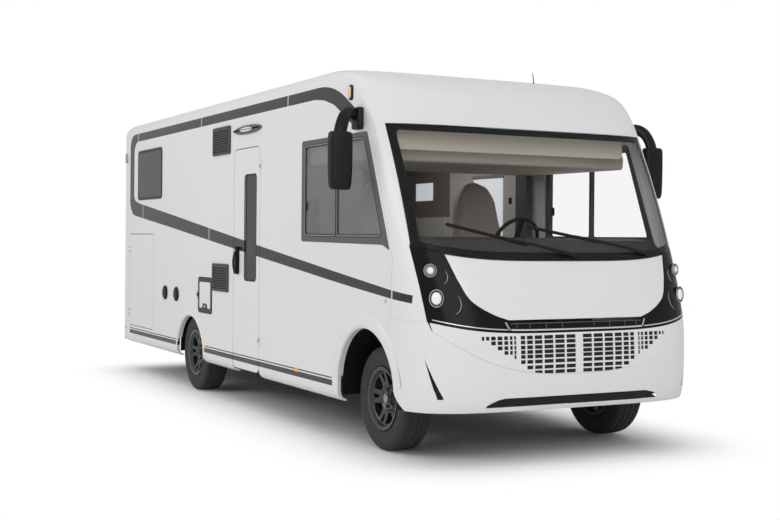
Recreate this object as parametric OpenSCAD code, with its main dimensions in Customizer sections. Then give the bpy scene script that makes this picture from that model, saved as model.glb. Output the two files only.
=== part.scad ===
// Integrated motorhome: coach body, moulded front mask, chassis, steered wheels, doors and flaps.
// X points forward, Y to the vehicle's left, Z up; the origin is on the ground at the middle.

/* [Body] */
// overall length
length = 7120; // [6600:10:7600]
// overall width of the body
body_w = 2300; // [2100:10:2400]
// height of the roof skin
roof_z = 2745; // [2600:5:2900]
// radius of the long roof edges
roof_r = 165; // [80:5:200]
// thickness of the side and rear walls
wall_t = 40; // [36:1:60]
// thickness of the doors and flaps
leaf_t = 30; // [20:1:34]
// thickness of the roof
roof_t = 45; // [25:1:60]
// lower edge of the side walls
wall_z = 485; // [450:5:540]
// lower edge of the skirts
skirt_z = 300; // [260:5:340]
// thickness of the skirts
skirt_t = 26; // [15:1:35]
// underside of the floor
floor_z = 600; // [560:5:640]
// thickness of the floor
floor_t = 60; // [40:5:80]
// joint between roof and front cap
cap_x = 1700; // [1600:10:1900]
// radius of the upright rear corners
corner_r = 38; // [20:1:40]

/* [Gaps] */
// gap round a moving panel
move_gap = 7; // [6:0.5:10]
// gap between fixed outer panels
panel_gap = 0.4; // [0.3:0.1:3]
// gap along curved or long joints of the front panels
seam_gap = 0.9; // [0.6:0.1:3]
// gap between nested curved faces
nest_gap = 0.3; // [0.2:0.05:0.5]
// gap above the bonnet
bonnet_gap = 9; // [8:1:20]
// radial clearance of a running fit
run_gap = 0.05; // [0.02:0.01:0.1]

/* [Front mask] */
// thickness of the moulded panels
mask_t = 6; // [4:0.5:10]
// exponent of the rounded plan outline
plan_n = 4.3; // [3:0.1:6]
// lower edge of the windscreen at the middle
screen_z0 = 1349; // [1300:1:1400]
// rise of that edge at the corners
screen_rise = 89; // [40:1:120]
// upper edge of the windscreen
screen_z1 = 2275; // [2200:5:2350]
// half width of the windscreen
screen_y = 1090; // [1040:1:1110]
// lower edge of the bonnet and lamp panels
bonnet_z = 952; // [920:1:1000]
// lower edge of the black strip at the middle
strip_z = 870; // [840:1:900]
// lower edge of the grille at the middle
grille_z = 595; // [560:1:640]
// lower edge of the bumper
bumper_z = 356; // [330:1:400]

/* [Wheels] */
// distance of the rear axle from the tail, on the standard length
rear_axle_d = 2385; // [2200:5:2500]
// front axle position
front_x = 2625; // [2600:5:2660]
// front track
track_f = 1810; // [1760:5:1850]
// rear track
track_r = 1980; // [1920:5:1990]
// outer radius of the tyre
tyre_r = 365; // [350:1:372]
// width of the tyre
tyre_w = 225; // [195:5:235]
// radius of the rim seat
rim_r = 208; // [195:1:220]
// radius of the wheel spindle
spindle_r = 32; // [28:1:38]
// distance of the steering axis inside the wheel plane
king_in = 45; // [30:1:60]
// radius of the steering pin
king_r = 15; // [12:1:20]

/* [Openings] */
// entry door: rear edge from the tail of the standard length, width
door_d = [3570, 616];
// entry door: lower edge, upper edge
door_z = [345, 2247];
// window in the entry door: distance from the door's rear edge, width
doorwin_d = [263, 274];
// window in the entry door: lower edge, upper edge
doorwin_z = [1115, 2018];
// garage door: rear edge from the tail, width
garage_d = [220, 904];
// garage door: lower edge, upper edge
garage_z = [500, 1506];
// service hatch: rear edge from the tail, width
hatch_d = [2616, 384];
// service hatch: lower edge, upper edge
hatch_z = [775, 1100];
// rear side window: rear edge from the tail, width
rwin_d = [542, 879];
// rear side window: lower edge, upper edge
rwin_z = [1880, 2415];

/* [Hidden] */
$fn = 64;
// standard body that all tables are drawn for: nose, tail to cap, half width, wall foot, roof
std_nose = 3560;
std_bay = 5260;
std_w = 1150;
std_low = 485;
std_top = 2745;
half_w = body_w / 2;
tail_end = std_nose - length;
tail_x = tail_end + wall_t;
// share of the standard height and width
k_h = (roof_z - wall_z) / (std_top - std_low);
k_w = half_w / std_w;
// place along the living part, from the tail of the standard length
function bay(d) = tail_end + d * (cap_x - tail_end) / std_bay;
function bays(p) = [bay(p[0]), bay(p[1])];
// both edges of an opening from its rear edge and width, moved along by a distance
function edges(p, d = 0) = bays([p[0] + d, p[0] + d + p[1]]);
// height on this body for a height on the standard body, and the other way
function lev(z) = z <= std_low ? z * wall_z / std_low : wall_z + (z - std_low) * k_h;
function std(z) = z <= wall_z ? z * std_low / wall_z : std_low + (z - wall_z) / k_h;
function levs(p) = [lev(p[0]), lev(p[1])];
function lev2(p) = [p[0], lev(p[1])];
function about(m, h) = [m - h, m + h];
door_x = edges(door_d);
door_h = levs(door_z);
doorwin_x = edges(doorwin_d, door_d[0]);
doorwin_h = levs(doorwin_z);
garage_x = edges(garage_d);
garage_h = levs(garage_z);
hatch_x = edges(hatch_d);
hatch_h = levs(hatch_z);
rwin_x = edges(rwin_d);
rwin_h = levs(rwin_z);
rear_x = bay(rear_axle_d);
wall_top = roof_z - roof_r;
std_wall_top = std(wall_top);
floor_top = floor_z + floor_t;
arch_f = [front_x, 430, 430];
arch_r = [rear_x - 20, 325, 395];
house_r = [rear_x, 380, 420];
axle_slot = 120;
axle_slot_z = 500;
liner_t = 6;
liner_low = 346;
liner_in_f = track_f / 2 - 330;
liner_in_r = track_r / 2 - 190;
king_y = track_f / 2 - king_in;
hinge_out = 13;
pin_r = 3.5;
lug_r = 6.5;

// centre line of the front mask: height, position
mask_line = [[330, 3478], [365, 3515], [420, 3540], [520, 3556], [620, 3560], [740, 3558],
  [860, 3550], [940, 3535], [1050, 3500], [1180, 3452], [1290, 3405], [1360, 3374], [1440, 3338],
  [1640, 3243], [1857, 3134], [2066, 3018], [2275, 2893], [2340, 2860], [2430, 2800], [2520, 2720],
  [2600, 2600], [2660, 2450], [2712, 2250], [2738, 1980], [2745, 1850]];
// start of the rounded plan outline: height, position
round_line = [[330, 2800], [1400, 2800], [2275, 2560], [2500, 2420], [2600, 2300], [2660, 2150],
  [2712, 1950], [2738, 1780], [2745, cap_x + 12]];
// rear edge of pillars and brow: height, position
seam_line = [[770, 2900], [800, 2906], [951, 3010], [1100, 3028], [1350, 3030], [2240, 2694],
  [std_wall_top, cap_x], [std_top - 7, cap_x], [std_top, cap_x + 12]];
// outer edge of the lamp panels: height, distance from the middle
lamp_line = [[900, 1058], [951, 1062], [1438, 1095], [1500, screen_y]];
// side edge of the bonnet: height, distance from the middle
bonnet_line = [[940, 500], [955, 505], [967, 560], [1071, 800], [1393, 918], [1440, 935]];
// lower outer corner of the lamp panels and top of the bumper wings
wing_z = 951;
// rows of the front cap on the standard body, from the wings to the roof
lamp_rows = [wing_z, 967, 1010, 1071, 1100, 1150, 1240, 1330, 1350, 1400, 1437];
brow_rows = [for (f = [0.21, 0.51, 0.8]) screen_z1 + f * (std_wall_top - screen_z1)];
crown_rows = [for (f = [0, 0.3, 0.55, 0.73, 0.86, 0.96, 1]) std_wall_top + f * (std_top - std_wall_top)];
cap_rows = concat(lamp_rows, [1640, 1857, 2066, 2240, screen_z1], brow_rows, crown_rows, [std_top + 1]);

// smooth curve through a table
function steep(t, i) = let(a = t[max(0, i - 1)], b = t[min(len(t) - 1, i + 1)]) (b[1] - a[1]) / (b[0] - a[0]);
function span(t, z, i = 0) = i >= len(t) - 2 || z < t[i + 1][0] ? i : span(t, z, i + 1);
function curve(t, z) = let(i = span(t, z), a = t[i], b = t[i + 1], h = b[0] - a[0], k = (z - a[0]) / h)
  a[1] * (2 * k * k * k - 3 * k * k + 1) + b[1] * (3 * k * k - 2 * k * k * k)
  + h * (steep(t, i) * (k * k * k - 2 * k * k + k) + steep(t, i + 1) * (k * k * k - k * k));
mask_fine = [for (z = [330:5:std_top]) [z, curve(mask_line, z)]];
round_fine = [for (z = [330:5:std_top]) [z, curve(round_line, z)]];
function xf(z) = lookup(z, mask_fine);
function x0(z) = lookup(z, round_fine);
function hw(z) = let(h = lev(z) - wall_top) h <= 0 ? half_w
  : half_w - roof_r + sqrt(max(0, roof_r * roof_r - h * h));
function dep(z) = xf(z) - x0(z);
// point of the mask at a plan angle and standard height; above the roof it lies on the roof joint
function mpt(t, z) = z > std_top ? [cap_x, mpt(t, std_top)[1], roof_z]
  : abs(t) > 90 ? [x0(z) + hw(z) / tan(abs(t)), sign(t) * hw(z), lev(z)]
  : let(r = pow(pow(abs(cos(t)) / dep(z), plan_n) + pow(abs(sin(t)) / hw(z), plan_n), -1 / plan_n))
    [x0(z) + r * cos(t), r * sin(t), lev(z)];
// plan angle of a distance from the middle of the standard body
function ang_y(y, z) = let(x = dep(z) * pow(max(0, 1 - pow(abs(y) * k_w / hw(z), plan_n)), 1 / plan_n))
  atan2(y * k_w, x);
// plan angle of a lengthwise position on the side
function ang_x(x, z) = let(u = max(0, (x - x0(z)) / dep(z)),
  y = hw(z) * pow(max(0, 1 - pow(u, plan_n)), 1 / plan_n)) atan2(y, x - x0(z));
function unit(v) = v / norm(v);
function mnorm(t, z) = z >= std_top ? [0, 0, 1] : let(e = 0.05, h = 1,
  a = mpt(t + e, z) - mpt(t - e, z), b = mpt(t, min(std_top, z + h)) - mpt(t, z - h)) unit(cross(a, b));
function msh(t, z, d) = mpt(t, z) - d * mnorm(t, z);
// rear edge of the front panels; low down it stays clear of the wheel arch
function seam(z) = let(r = arch_f[2] + move_gap, h = max(0, lev(z) - arch_f[1]), x = lookup(z, seam_line))
  h >= r ? x : max(x, arch_f[0] + sqrt(r * r - h * h));
function strip_low(y) = strip_z + 80 * pow(min(1, abs(y) / 1062), 4);
function strip_top(y) = abs(y) < 480 ? bonnet_z - 13 : wing_z - panel_gap;
function arc_low(y) = grille_z + 360 * pow(abs(y) / 1120, 2.8);
function screen_low(y) = screen_z0 + screen_rise * pow(abs(y) / 1095, 4);
function mix(a, b, k) = a + (b - a) * k;
function spread(k) = sin(90 * k);

// shell over a grid of plan angles and heights; keep(i, j) leaves out cells
module shell(g, keep, d = mask_t, lift = 0) {
  m = len(g);
  n = len(g[0]);
  function id(i, j, s) = (i * n + j) * 2 + s;
  function on(i, j) = i >= 0 && j >= 0 && i < m - 1 && j < n - 1 && keep(i, j);
  pts = [for (i = [0:m - 1]) for (j = [0:n - 1]) for (s = [0, 1])
    msh(g[i][j][0], g[i][j][1], s == 0 ? -lift : d)];
  faces = [for (i = [0:m - 2]) for (j = [0:n - 2]) if (on(i, j)) each concat(
    [[id(i, j, 0), id(i + 1, j, 0), id(i + 1, j + 1, 0)], [id(i, j, 0), id(i + 1, j + 1, 0), id(i, j + 1, 0)],
     [id(i, j, 1), id(i + 1, j + 1, 1), id(i + 1, j, 1)], [id(i, j, 1), id(i, j + 1, 1), id(i + 1, j + 1, 1)]],
    on(i - 1, j) ? [] : [[id(i, j, 0), id(i, j + 1, 0), id(i, j + 1, 1)], [id(i, j, 0), id(i, j + 1, 1), id(i, j, 1)]],
    on(i + 1, j) ? [] : [[id(i + 1, j + 1, 0), id(i + 1, j, 0), id(i + 1, j, 1)],
      [id(i + 1, j + 1, 0), id(i + 1, j, 1), id(i + 1, j + 1, 1)]],
    on(i, j - 1) ? [] : [[id(i + 1, j, 0), id(i, j, 0), id(i, j, 1)], [id(i + 1, j, 0), id(i, j, 1), id(i + 1, j, 1)]],
    on(i, j + 1) ? [] : [[id(i, j + 1, 0), id(i + 1, j + 1, 0), id(i + 1, j + 1, 1)],
      [id(i, j + 1, 0), id(i + 1, j + 1, 1), id(i, j + 1, 1)]])];
  polyhedron(pts, faces, convexity = 8);
}

module block(a, b) {
  translate(a) cube(b - a);
}

// flat outline in X and Z, spread between two Y positions
module across(y0, y1) {
  translate([0, y1, 0]) rotate([90, 0, 0]) linear_extrude(y1 - y0) children();
}

// outline in Y and Z, spread between two X positions
module along(x0, x1) {
  translate([x0, 0, 0]) rotate([90, 0, 90]) linear_extrude(x1 - x0) children();
}

function arc2(c, r, a0, a1, n = 6) = [for (k = [0:n]) let(a = mix(a0, a1, k / n)) c + r * [cos(a), sin(a)]];
function rr(bx, bz, r, g = 0) = let(q = r + g) concat(
  arc2([bx[1] + g - q, bz[1] + g - q], q, 0, 90), arc2([bx[0] - g + q, bz[1] + g - q], q, 90, 180),
  arc2([bx[0] - g + q, bz[0] - g + q], q, 180, 270), arc2([bx[1] + g - q, bz[0] - g + q], q, 270, 360));

// outline with soft corners that start d from each corner
function soft(p, d, n = 4) = let(m = len(p)) [for (i = [0:m - 1]) let(c = p[i],
  a = c + d * unit(p[(i + m - 1) % m] - c), b = c + d * unit(p[(i + 1) % m] - c))
  for (k = [0:n]) let(t = k / n) (1 - t) * (1 - t) * a + 2 * t * (1 - t) * c + t * t * b];

module both() {
  children();
  mirror([0, 1, 0]) children();
}

// body cross-section, drawn inwards by d
module section(z0, d = 0) {
  polygon(concat([[-half_w + d, z0], [half_w - d, z0]],
    arc2([half_w - roof_r, wall_top], roof_r - d, 0, 90, 12),
    arc2([roof_r - half_w, wall_top], roof_r - d, 90, 180, 12)));
}

module arch_cut(a, y0, y1) {
  across(y0, y1) {
    translate([a[0], a[1]]) circle(a[2]);
    translate([a[0] - a[2], 0]) square([2 * a[2], a[1]]);
  }
}

// cab window: outer outline and the two panes
cab_tip = seam(1400) - 12;
cabwin = [for (q = soft([[1507, 2228], [2645, 2228], [cab_tip, 1400], [2890, 1440], [1507, 1456]], 26)) lev2(q)];
cabwin_panes = [for (p = [[[1575, 1505], [2125, 1500], [2125, 2184], [1575, 2184]],
  [[2160, 1500], [2865, 1500], [2590, 2184], [2160, 2184]]]) [for (q = soft(p, 34)) lev2(q)]];
// front edge of the side walls, along the front cap
wall_front = [for (z = cap_rows) if (z <= std_wall_top) [seam(z) - 2 * seam_gap, lev(z)]];

// hinge between a panel and its wall: fixed lugs with the pin, and the moving barrel
module hinge_fixed(x, z, way) {
  translate([x, -half_w - hinge_out, z]) {
    translate([0, 0, -32]) cylinder(h = 64, r = pin_r);
    for (s = [-32, 19]) translate([0, 0, s]) {
      cylinder(h = 13, r = lug_r);
      block([min(0, way * 34), 0, 0], [max(0, way * 34), hinge_out, 13]);
    }
  }
}

module hinge_moving(x, z, way) {
  translate([x, -half_w - hinge_out, z - 13]) difference() {
    union() {
      cylinder(h = 26, r = lug_r);
      block([min(0, -way * 34), 0, 0], [max(0, -way * 34), hinge_out, 26]);
    }
    translate([0, 0, -1]) cylinder(h = 28, r = pin_r + run_gap);
    block([-way * (move_gap - 1) - (way > 0 ? 0 : 40), lug_r - 1, -1], [40 - way * (move_gap - 1) - (way > 0 ? 0 : 40), 40, 27]);
  }
}

// side hinges: position, height, side of the fixed lugs
door_hinges = [for (z = [620, 2080]) [door_x[1] + move_gap / 2, lev(z), 1]];
garage_hinges = [for (z = [640, 1340]) [garage_x[0] - move_gap / 2, lev(z), -1]];
hatch_hinges = [[hatch_x[0] - move_gap / 2, lev(937), -1]];

module wall_blank() {
  difference() {
    across(-half_w, wall_t - half_w) polygon(concat([[tail_x, wall_z], [front_x + 225, wall_z],
      [front_x + 225, lev(780)], [seam(800) - 2 * seam_gap, lev(800)]], wall_front, [[tail_x, wall_top]]));
    arch_cut(arch_f, -half_w - 1, wall_t - half_w + 1);
    arch_cut(arch_r, -half_w - 1, wall_t - half_w + 1);
    across(-half_w - 1, wall_t - half_w + 1) polygon(cabwin);
    across(-half_w - 1, wall_t - half_w + 1) polygon(rr(rwin_x, rwin_h, 40, -22));
    across(-half_w - 1, wall_t - half_w + 1) polygon(rr(garage_x, garage_h, 25, move_gap));
  }
  for (h = garage_hinges) hinge_fixed(h[0], h[1], h[2]);
}

module wall_right() {
  color([0.9, 0.9, 0.9]) difference() {
    wall_blank();
    across(-half_w - 1, wall_t - half_w + 1) polygon(rr(door_x, door_h, 60, move_gap));
    across(-half_w - 1, wall_t - half_w + 1) polygon(rr(hatch_x, hatch_h, 20, move_gap));
  }
  color([0.9, 0.9, 0.9]) for (h = concat(door_hinges, hatch_hinges)) hinge_fixed(h[0], h[1], h[2]);
}

module wall_left() {
  color([0.9, 0.9, 0.9]) mirror([0, 1, 0]) wall_blank();
}

module rear_outline() {
  polygon(concat([[tail_x + 1, half_w], [tail_end + corner_r, half_w]],
    arc2([tail_end + corner_r, half_w - corner_r], corner_r, 90, 180),
    arc2([tail_end + corner_r, corner_r - half_w], corner_r, 180, 270), [[tail_x + 1, -half_w]]));
}

// tail lamp: distance from the middle, heights, depth
lamp_y = [930, 1050];
lamp_h = levs([700, 1120]);
lamp_d = 22;

module wall_rear() {
  color([0.9, 0.9, 0.9]) difference() {
    intersection() {
      along(tail_end, tail_x) section(wall_z);
      linear_extrude(roof_z + 10) rear_outline();
    }
    both() along(tail_end - 1, tail_end + lamp_d) polygon(rr(lamp_y * k_w, lamp_h, 30));
  }
}

module tail_lamps() {
  color([0.6, 0.05, 0.05]) both() along(tail_end, tail_end + lamp_d) polygon(rr(lamp_y * k_w, lamp_h, 30, -nest_gap));
}

module rear_bumper() {
  color([0.9, 0.9, 0.9]) difference() {
    intersection() {
      block([tail_end, -half_w, skirt_z + 20], [tail_x, half_w, wall_z]);
      linear_extrude(wall_z + 10) rear_outline();
    }
    block([tail_end + skirt_t, 60 - half_w, 0], [tail_x + 1, half_w - 60, wall_z - skirt_t]);
  }
}

module roof() {
  color([0.9, 0.9, 0.9]) along(tail_x, cap_x - panel_gap) difference() {
    section(wall_top);
    section(wall_top - 1, roof_t);
  }
}

// roof hatch: place, length, width, height
hatch_table = [[1060, 700, 500, 65], [4010, 700, 500, 65]];

module roof_hatches() {
  color([0.8, 0.8, 0.8]) for (h = hatch_table) translate([bay(h[0]), 0, roof_z]) {
    linear_extrude(h[3] / 3) polygon(rr([-h[1] / 2, h[1] / 2], [-h[2] / 2, h[2] / 2], 60));
    linear_extrude(h[3]) polygon(rr([-h[1] / 2, h[1] / 2], [-h[2] / 2, h[2] / 2], 50, -20));
  }
}

module floor_pan() {
  color([0.35, 0.35, 0.36]) difference() {
    block([tail_x, wall_t - half_w, floor_z], [front_x + 115, half_w - wall_t, floor_top]);
    both() block([house_r[0] - house_r[2] - liner_t, -half_w, 0],
      [house_r[0] + house_r[2] + liner_t, -liner_in_r + liner_t, 900]);
    both() block([garage_x[0] - move_gap, -half_w, 0], [garage_x[1] + move_gap, move_gap + wall_t - half_w, 900]);
    both() block([arch_f[0] - arch_f[2] - liner_t, -half_w, 0], [3000, -liner_in_f + liner_t, 900]);
    block([door_x[0], -half_w, 0], [door_x[1], -half_w + 420, 900]);
  }
}

// chassis rails: ends, inner and outer face, underside
rail_x = [tail_x + 20, 3330];
rail_y = [350, 420];
rail_z = 440;
// cross members as shares of the rail length
cross_table = [0, 0.143, 0.41, 0.615, 0.79];
cross_w = 60;
// bolt holes for a tow bracket: distances from the rail end, height, radius
tow_table = [100, 220];
tow_z = 520;
tow_r = 7;
beam = [70, 760, 580];

module chassis_frame() {
  color([0.12, 0.12, 0.13]) difference() {
    union() {
      both() block([rail_x[0], -rail_y[1], rail_z], [rail_x[1], -rail_y[0], floor_z]);
      for (k = cross_table) translate([mix(rail_x[0], rail_x[1], k), 0, 0])
        block([0, -rail_y[0], rail_z + 20], [cross_w, rail_y[0], floor_z - 20]);
      block([rail_x[1], -beam[1], rail_z], [rail_x[1] + beam[0], beam[1], beam[2]]);
    }
    both() for (d = tow_table) translate([rail_x[0] + d, 10 - rail_y[0], tow_z]) rotate([90, 0, 0])
      cylinder(h = rail_y[1] - rail_y[0] + 20, r = tow_r);
  }
}

module arch_liner(a, y_in, low) {
  difference() {
    across(-half_w + wall_t, -y_in + liner_t) difference() {
      translate([a[0], a[1]]) union() {
        circle(a[2] + liner_t);
        translate([-a[2] - liner_t, -a[1]]) square([2 * (a[2] + liner_t), a[1]]);
      }
      translate([a[0] - 600, -600]) square([1200, low + 600]);
    }
    arch_cut(a, -half_w, -y_in);
    block([a[0] - axle_slot, -y_in - 1, 0], [a[0] + axle_slot, 0, axle_slot_z]);
  }
}

module wheel_liners() {
  color([0.1, 0.1, 0.1]) both() {
    arch_liner(arch_f, liner_in_f, liner_low);
    arch_liner(house_r, liner_in_r, liner_low);
  }
}

skirt_prof = [[-half_w, wall_z], [-half_w, 372], [6 - half_w, 344], [22 - half_w, 320], [46 - half_w, 304],
  [74 - half_w, skirt_z], [74 - half_w, skirt_z + 12], [50 - half_w, 322], [36 - half_w, 338],
  [skirt_t - half_w, 370], [skirt_t - half_w, wall_z]];

module skirt_side() {
  difference() {
    along(tail_x, arch_f[0] - arch_f[2]) polygon(skirt_prof);
    arch_cut(arch_r, -half_w - 1, -half_w + 100);
  }
}

module skirts() {
  color([0.9, 0.9, 0.9]) {
    difference() {
      skirt_side();
      across(-half_w - 1, -half_w + 100) polygon(rr(door_x, door_h, 60, move_gap));
      block([door_x[0] - move_gap, -half_w - 1, 0], [door_x[1] + move_gap, -half_w + 100, door_h[0] + 80]);
    }
    mirror([0, 1, 0]) skirt_side();
  }
}

module pane_hole(bx, bz, r, y0, y1) {
  across(y0, y1) polygon(rr(bx, bz, r));
}

// door handle: from the rear edge, width, lower and upper end, height
handle = [105, 70, 1165, 1400, 28];

module entry_door() {
  color([0.92, 0.92, 0.92]) {
    difference() {
      across(-half_w, leaf_t - half_w) polygon(rr(door_x, door_h, 60));
      pane_hole(doorwin_x, doorwin_h, 35, -half_w - 1, leaf_t - half_w + 1);
    }
    across(-half_w - handle[4], -half_w)
      polygon(rr(about(door_x[0] + handle[0], handle[1] / 2), levs([handle[2], handle[3]]), 18));
    for (h = door_hinges) hinge_moving(h[0], h[1], h[2]);
  }
}

module entry_door_window() {
  color([0.2, 0.2, 0.22, 0.6]) across(8 - half_w, 14 - half_w) polygon(rr(doorwin_x, doorwin_h, 35, -nest_gap));
}

module garage_leaf() {
  across(-half_w, leaf_t - half_w) polygon(rr(garage_x, garage_h, 25));
  for (h = garage_hinges) hinge_moving(h[0], h[1], h[2]);
}

module garage_door_right() {
  color([0.92, 0.92, 0.92]) garage_leaf();
}

module garage_door_left() {
  color([0.92, 0.92, 0.92]) mirror([0, 1, 0]) garage_leaf();
}

// raised rim of the service hatch: width, height
hatch_rim = [34, 5];

module service_hatch() {
  color([0.1, 0.1, 0.1]) {
    across(-half_w, leaf_t - half_w) polygon(rr(hatch_x, hatch_h, 20));
    across(-half_w - hatch_rim[1], -half_w) difference() {
      polygon(rr(hatch_x, hatch_h, 20));
      polygon(rr(hatch_x, hatch_h, 20 + hatch_rim[0], -hatch_rim[0]));
    }
    for (h = hatch_hinges) hinge_moving(h[0], h[1], h[2]);
  }
}

module cab_window_frames() {
  color([0.25, 0.25, 0.26]) both() difference() {
    across(-half_w, 20 - half_w) polygon(cabwin);
    for (p = cabwin_panes) across(-half_w - 1, 21 - half_w) polygon(p);
  }
}

module cab_window_panes() {
  color([0.4, 0.4, 0.4, 0.4]) both() for (p = cabwin_panes) across(6 - half_w, 11 - half_w) polygon(p);
}

module rear_windows() {
  color([0.1, 0.1, 0.11]) both() across(-half_w - 6, -half_w) polygon(rr(rwin_x, rwin_h, 40));
}

// vent: rear edge and front edge from the tail, lower edge, upper edge
vent_table = [[3019, 3472, 2225, 2478], [3029, 3446, 992, 1242]];
vent_h = 14;
vent_rim = 30;
vent_slats = 9;

module vents() {
  color([0.3, 0.3, 0.31]) for (v = vent_table) {
    x = bays([v[0], v[1]]);
    z = levs([v[2], v[3]]);
    step = (z[1] - z[0] - 2 * vent_rim + 12) / vent_slats;
    difference() {
      across(-half_w - vent_h, -half_w) polygon(rr(x, z, 18));
      for (k = [0:vent_slats - 1]) across(-half_w - vent_h - 1, 8 - half_w - vent_h)
        translate([x[0] + vent_rim, z[0] + vent_rim - 6 + k * step]) square([x[1] - x[0] - 2 * vent_rim, step / 2]);
    }
  }
}

// filler caps: places from the tail, height, radius
cap_table = [1568, 1940];
cap_z = 911;
cap_r = 72;

module filler_caps() {
  color([0.15, 0.15, 0.15]) for (d = cap_table) translate([bay(d), -half_w, lev(cap_z)]) {
    rotate([90, 0, 0]) cylinder(h = 12, r = cap_r);
    rotate([90, 0, 0]) cylinder(h = 16, r = cap_r - 8);
    block([-cap_r + 16, -26, -9], [cap_r - 16, 0, 9]);
  }
}

// porch lamp: distance of its rear end from the door's rear edge, length; lower edge, upper edge
porch_d = [8, 644];
porch_z = [2370, 2447];

module porch_lamp() {
  color([0.85, 0.85, 0.85]) across(-half_w - 30, -half_w) polygon(rr(edges(porch_d, door_d[0]), levs(porch_z), 36));
}

// side lamps: width, height, depth, level
side_lamp = [60, 32, 8, 440];
// upright lamps on the shoulders and at the tail: width, height, depth
tall_lamp = [60, 108, 20];
shoulder_at = [2356, 2465];
tail_mark_at = [20, 2310];

module marker_lamps() {
  color([0.9, 0.5, 0.1]) both() {
    for (x = [tail_x + 10, rear_x + 425, front_x - 1211]) translate([x, -half_w - side_lamp[2], side_lamp[3]])
      cube([side_lamp[0], side_lamp[2], side_lamp[1]]);
    for (q = [shoulder_at, [tail_x + tail_mark_at[0], tail_mark_at[1]]])
      across(-half_w - nest_gap - tall_lamp[2], -half_w - nest_gap)
        polygon(rr([q[0], q[0] + tall_lamp[0]], [lev(q[1]), lev(q[1]) + tall_lamp[1]], 22));
  }
}

module rod(a, b, r) {
  d = b - a;
  translate(a) rotate([0, acos(d[2] / norm(d)), atan2(d[1], d[0])]) cylinder(h = norm(d), r = r);
}

// mirror: foot, elbow and middle of the head, half sizes of the head, radius of the arm
mirror_base = [2530, -half_w, lev(2330)];
mirror_elbow = [2585, -half_w - 150, lev(2350)];
mirror_head = [2635, -half_w - 205, lev(2015)];
mirror_half = [55, 85, 200];
mirror_arm = 24;

module mirrors() {
  color([0.06, 0.06, 0.06]) both() {
    across(-half_w - 30, -half_w) polygon(rr(about(mirror_base[0], 50), about(mirror_base[2], 60), 22));
    rod(mirror_base - [0, 20, 0], mirror_elbow, mirror_arm);
    translate(mirror_elbow) sphere(mirror_arm + 7);
    rod(mirror_elbow, mirror_head + [0, 0, mirror_half[2] - 20], mirror_arm);
    intersection() {
      along(mirror_head[0] - mirror_half[0], mirror_head[0] + mirror_half[0]) polygon(rr(
        about(mirror_head[1], mirror_half[1]), about(mirror_head[2], mirror_half[2]), 48));
      across(mirror_head[1] - mirror_half[1], mirror_head[1] + mirror_half[1]) polygon(rr(
        about(mirror_head[0], mirror_half[0]), about(mirror_head[2], mirror_half[2]), 40));
    }
  }
}

module front_cap() {
  n_mid = 24;
  n_side = 4;
  rows = [for (z = cap_rows) let(b = ang_y(z < 1438 ? lookup(z, lamp_line) : screen_y, z), s = ang_x(seam(z), z))
    concat([for (k = [0:n_side - 1]) [-mix(s, b, k / n_side), z]],
      [for (k = [0:n_mid]) [-b * spread(1 - 2 * k / n_mid), z]],
      [for (k = [1:n_side]) [mix(b, s, k / n_side), z]])];
  color([0.93, 0.93, 0.93]) shell(rows, function(i, j) j < n_side || j >= n_side + n_mid || cap_rows[i] >= screen_z1);
}

module windscreen() {
  color([0.3, 0.35, 0.35, 0.4]) shell([for (i = [0:10]) [for (j = [0:24]) let(
    q = spread(j / 12 - 1), y = q * (screen_y - seam_gap), zb = screen_low(y) + seam_gap,
    z = mix(zb, screen_z1 - panel_gap, i / 10)) [ang_y(y, z), z]]], function(i, j) true);
}

// bonnet hinge under its lower edge: distance from the middle, radii of pin and barrel
bonnet_lug_y = [400, 432];
bonnet_pin = 3;
bonnet_barrel = 5.5;
bonnet_low = bonnet_z + 6;
bonnet_axis = let(z = bonnet_z - 2, p = mpt(ang_y(416, z), z)) [p[0] - mask_t / 2, p[2]];

module bonnet() {
  color([0.93, 0.93, 0.93]) difference() {
    union() {
      shell([for (i = [0:9]) [for (j = [0:16]) let(
        q = j / 8 - 1, zt = screen_low(q * 918) - bonnet_gap,
        z = mix(bonnet_low, zt, [0, 0.025, 0.11, 0.27, 0.37, 0.5, 0.62, 0.75, 0.88, 1][i]),
        y = q * (lookup(z, bonnet_line) - move_gap)) [ang_y(y, z), z]]], function(i, j) true);
      both() across(-bonnet_lug_y[1], -bonnet_lug_y[0]) {
        translate(bonnet_axis) circle(bonnet_barrel);
        translate(bonnet_axis - [bonnet_barrel, 0]) square([bonnet_barrel, 24]);
      }
    }
    both() across(-bonnet_lug_y[1] - 1, 1 - bonnet_lug_y[0]) translate(bonnet_axis) circle(bonnet_pin + run_gap);
  }
}

// lamp drum in each lamp panel: distance from the middle, height, radius
drum_table = [[1008, 1278, 50], [988, 1098, 45]];

module headlamps() {
  color([0.05, 0.05, 0.05]) both() {
    shell([for (zg = lamp_rows) [for (j = [0:5]) let(
      yi = lookup(zg, bonnet_line), yo = lookup(zg, lamp_line) - seam_gap, y = mix(yo, yi, j / 5),
      z = min(zg, screen_low(y) - panel_gap)) [-ang_y(y, z), z]]], function(i, j) true);
    for (d = drum_table) let(t = -ang_y(d[0], d[1])) rod(msh(t, d[1], 16), msh(t, d[1], -3), d[2]);
  }
}

module grille_strip() {
  color([0.06, 0.06, 0.06]) {
    shell([for (i = [0:2]) [for (j = [0:32]) let(y = spread(j / 16 - 1) * 1052,
      z = mix(strip_low(y), strip_top(y), i / 2)) [ang_y(y, z), z]]], function(i, j) true);
    both() {
      across(-bonnet_lug_y[1] - 30, 2 - bonnet_lug_y[0]) translate(bonnet_axis) circle(bonnet_pin);
      across(-bonnet_lug_y[1] - 30, -bonnet_lug_y[1] - 2) {
        translate(bonnet_axis) circle(bonnet_barrel);
        translate(bonnet_axis - [bonnet_barrel, 26]) square([bonnet_barrel + 3, 26]);
      }
    }
  }
}

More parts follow.
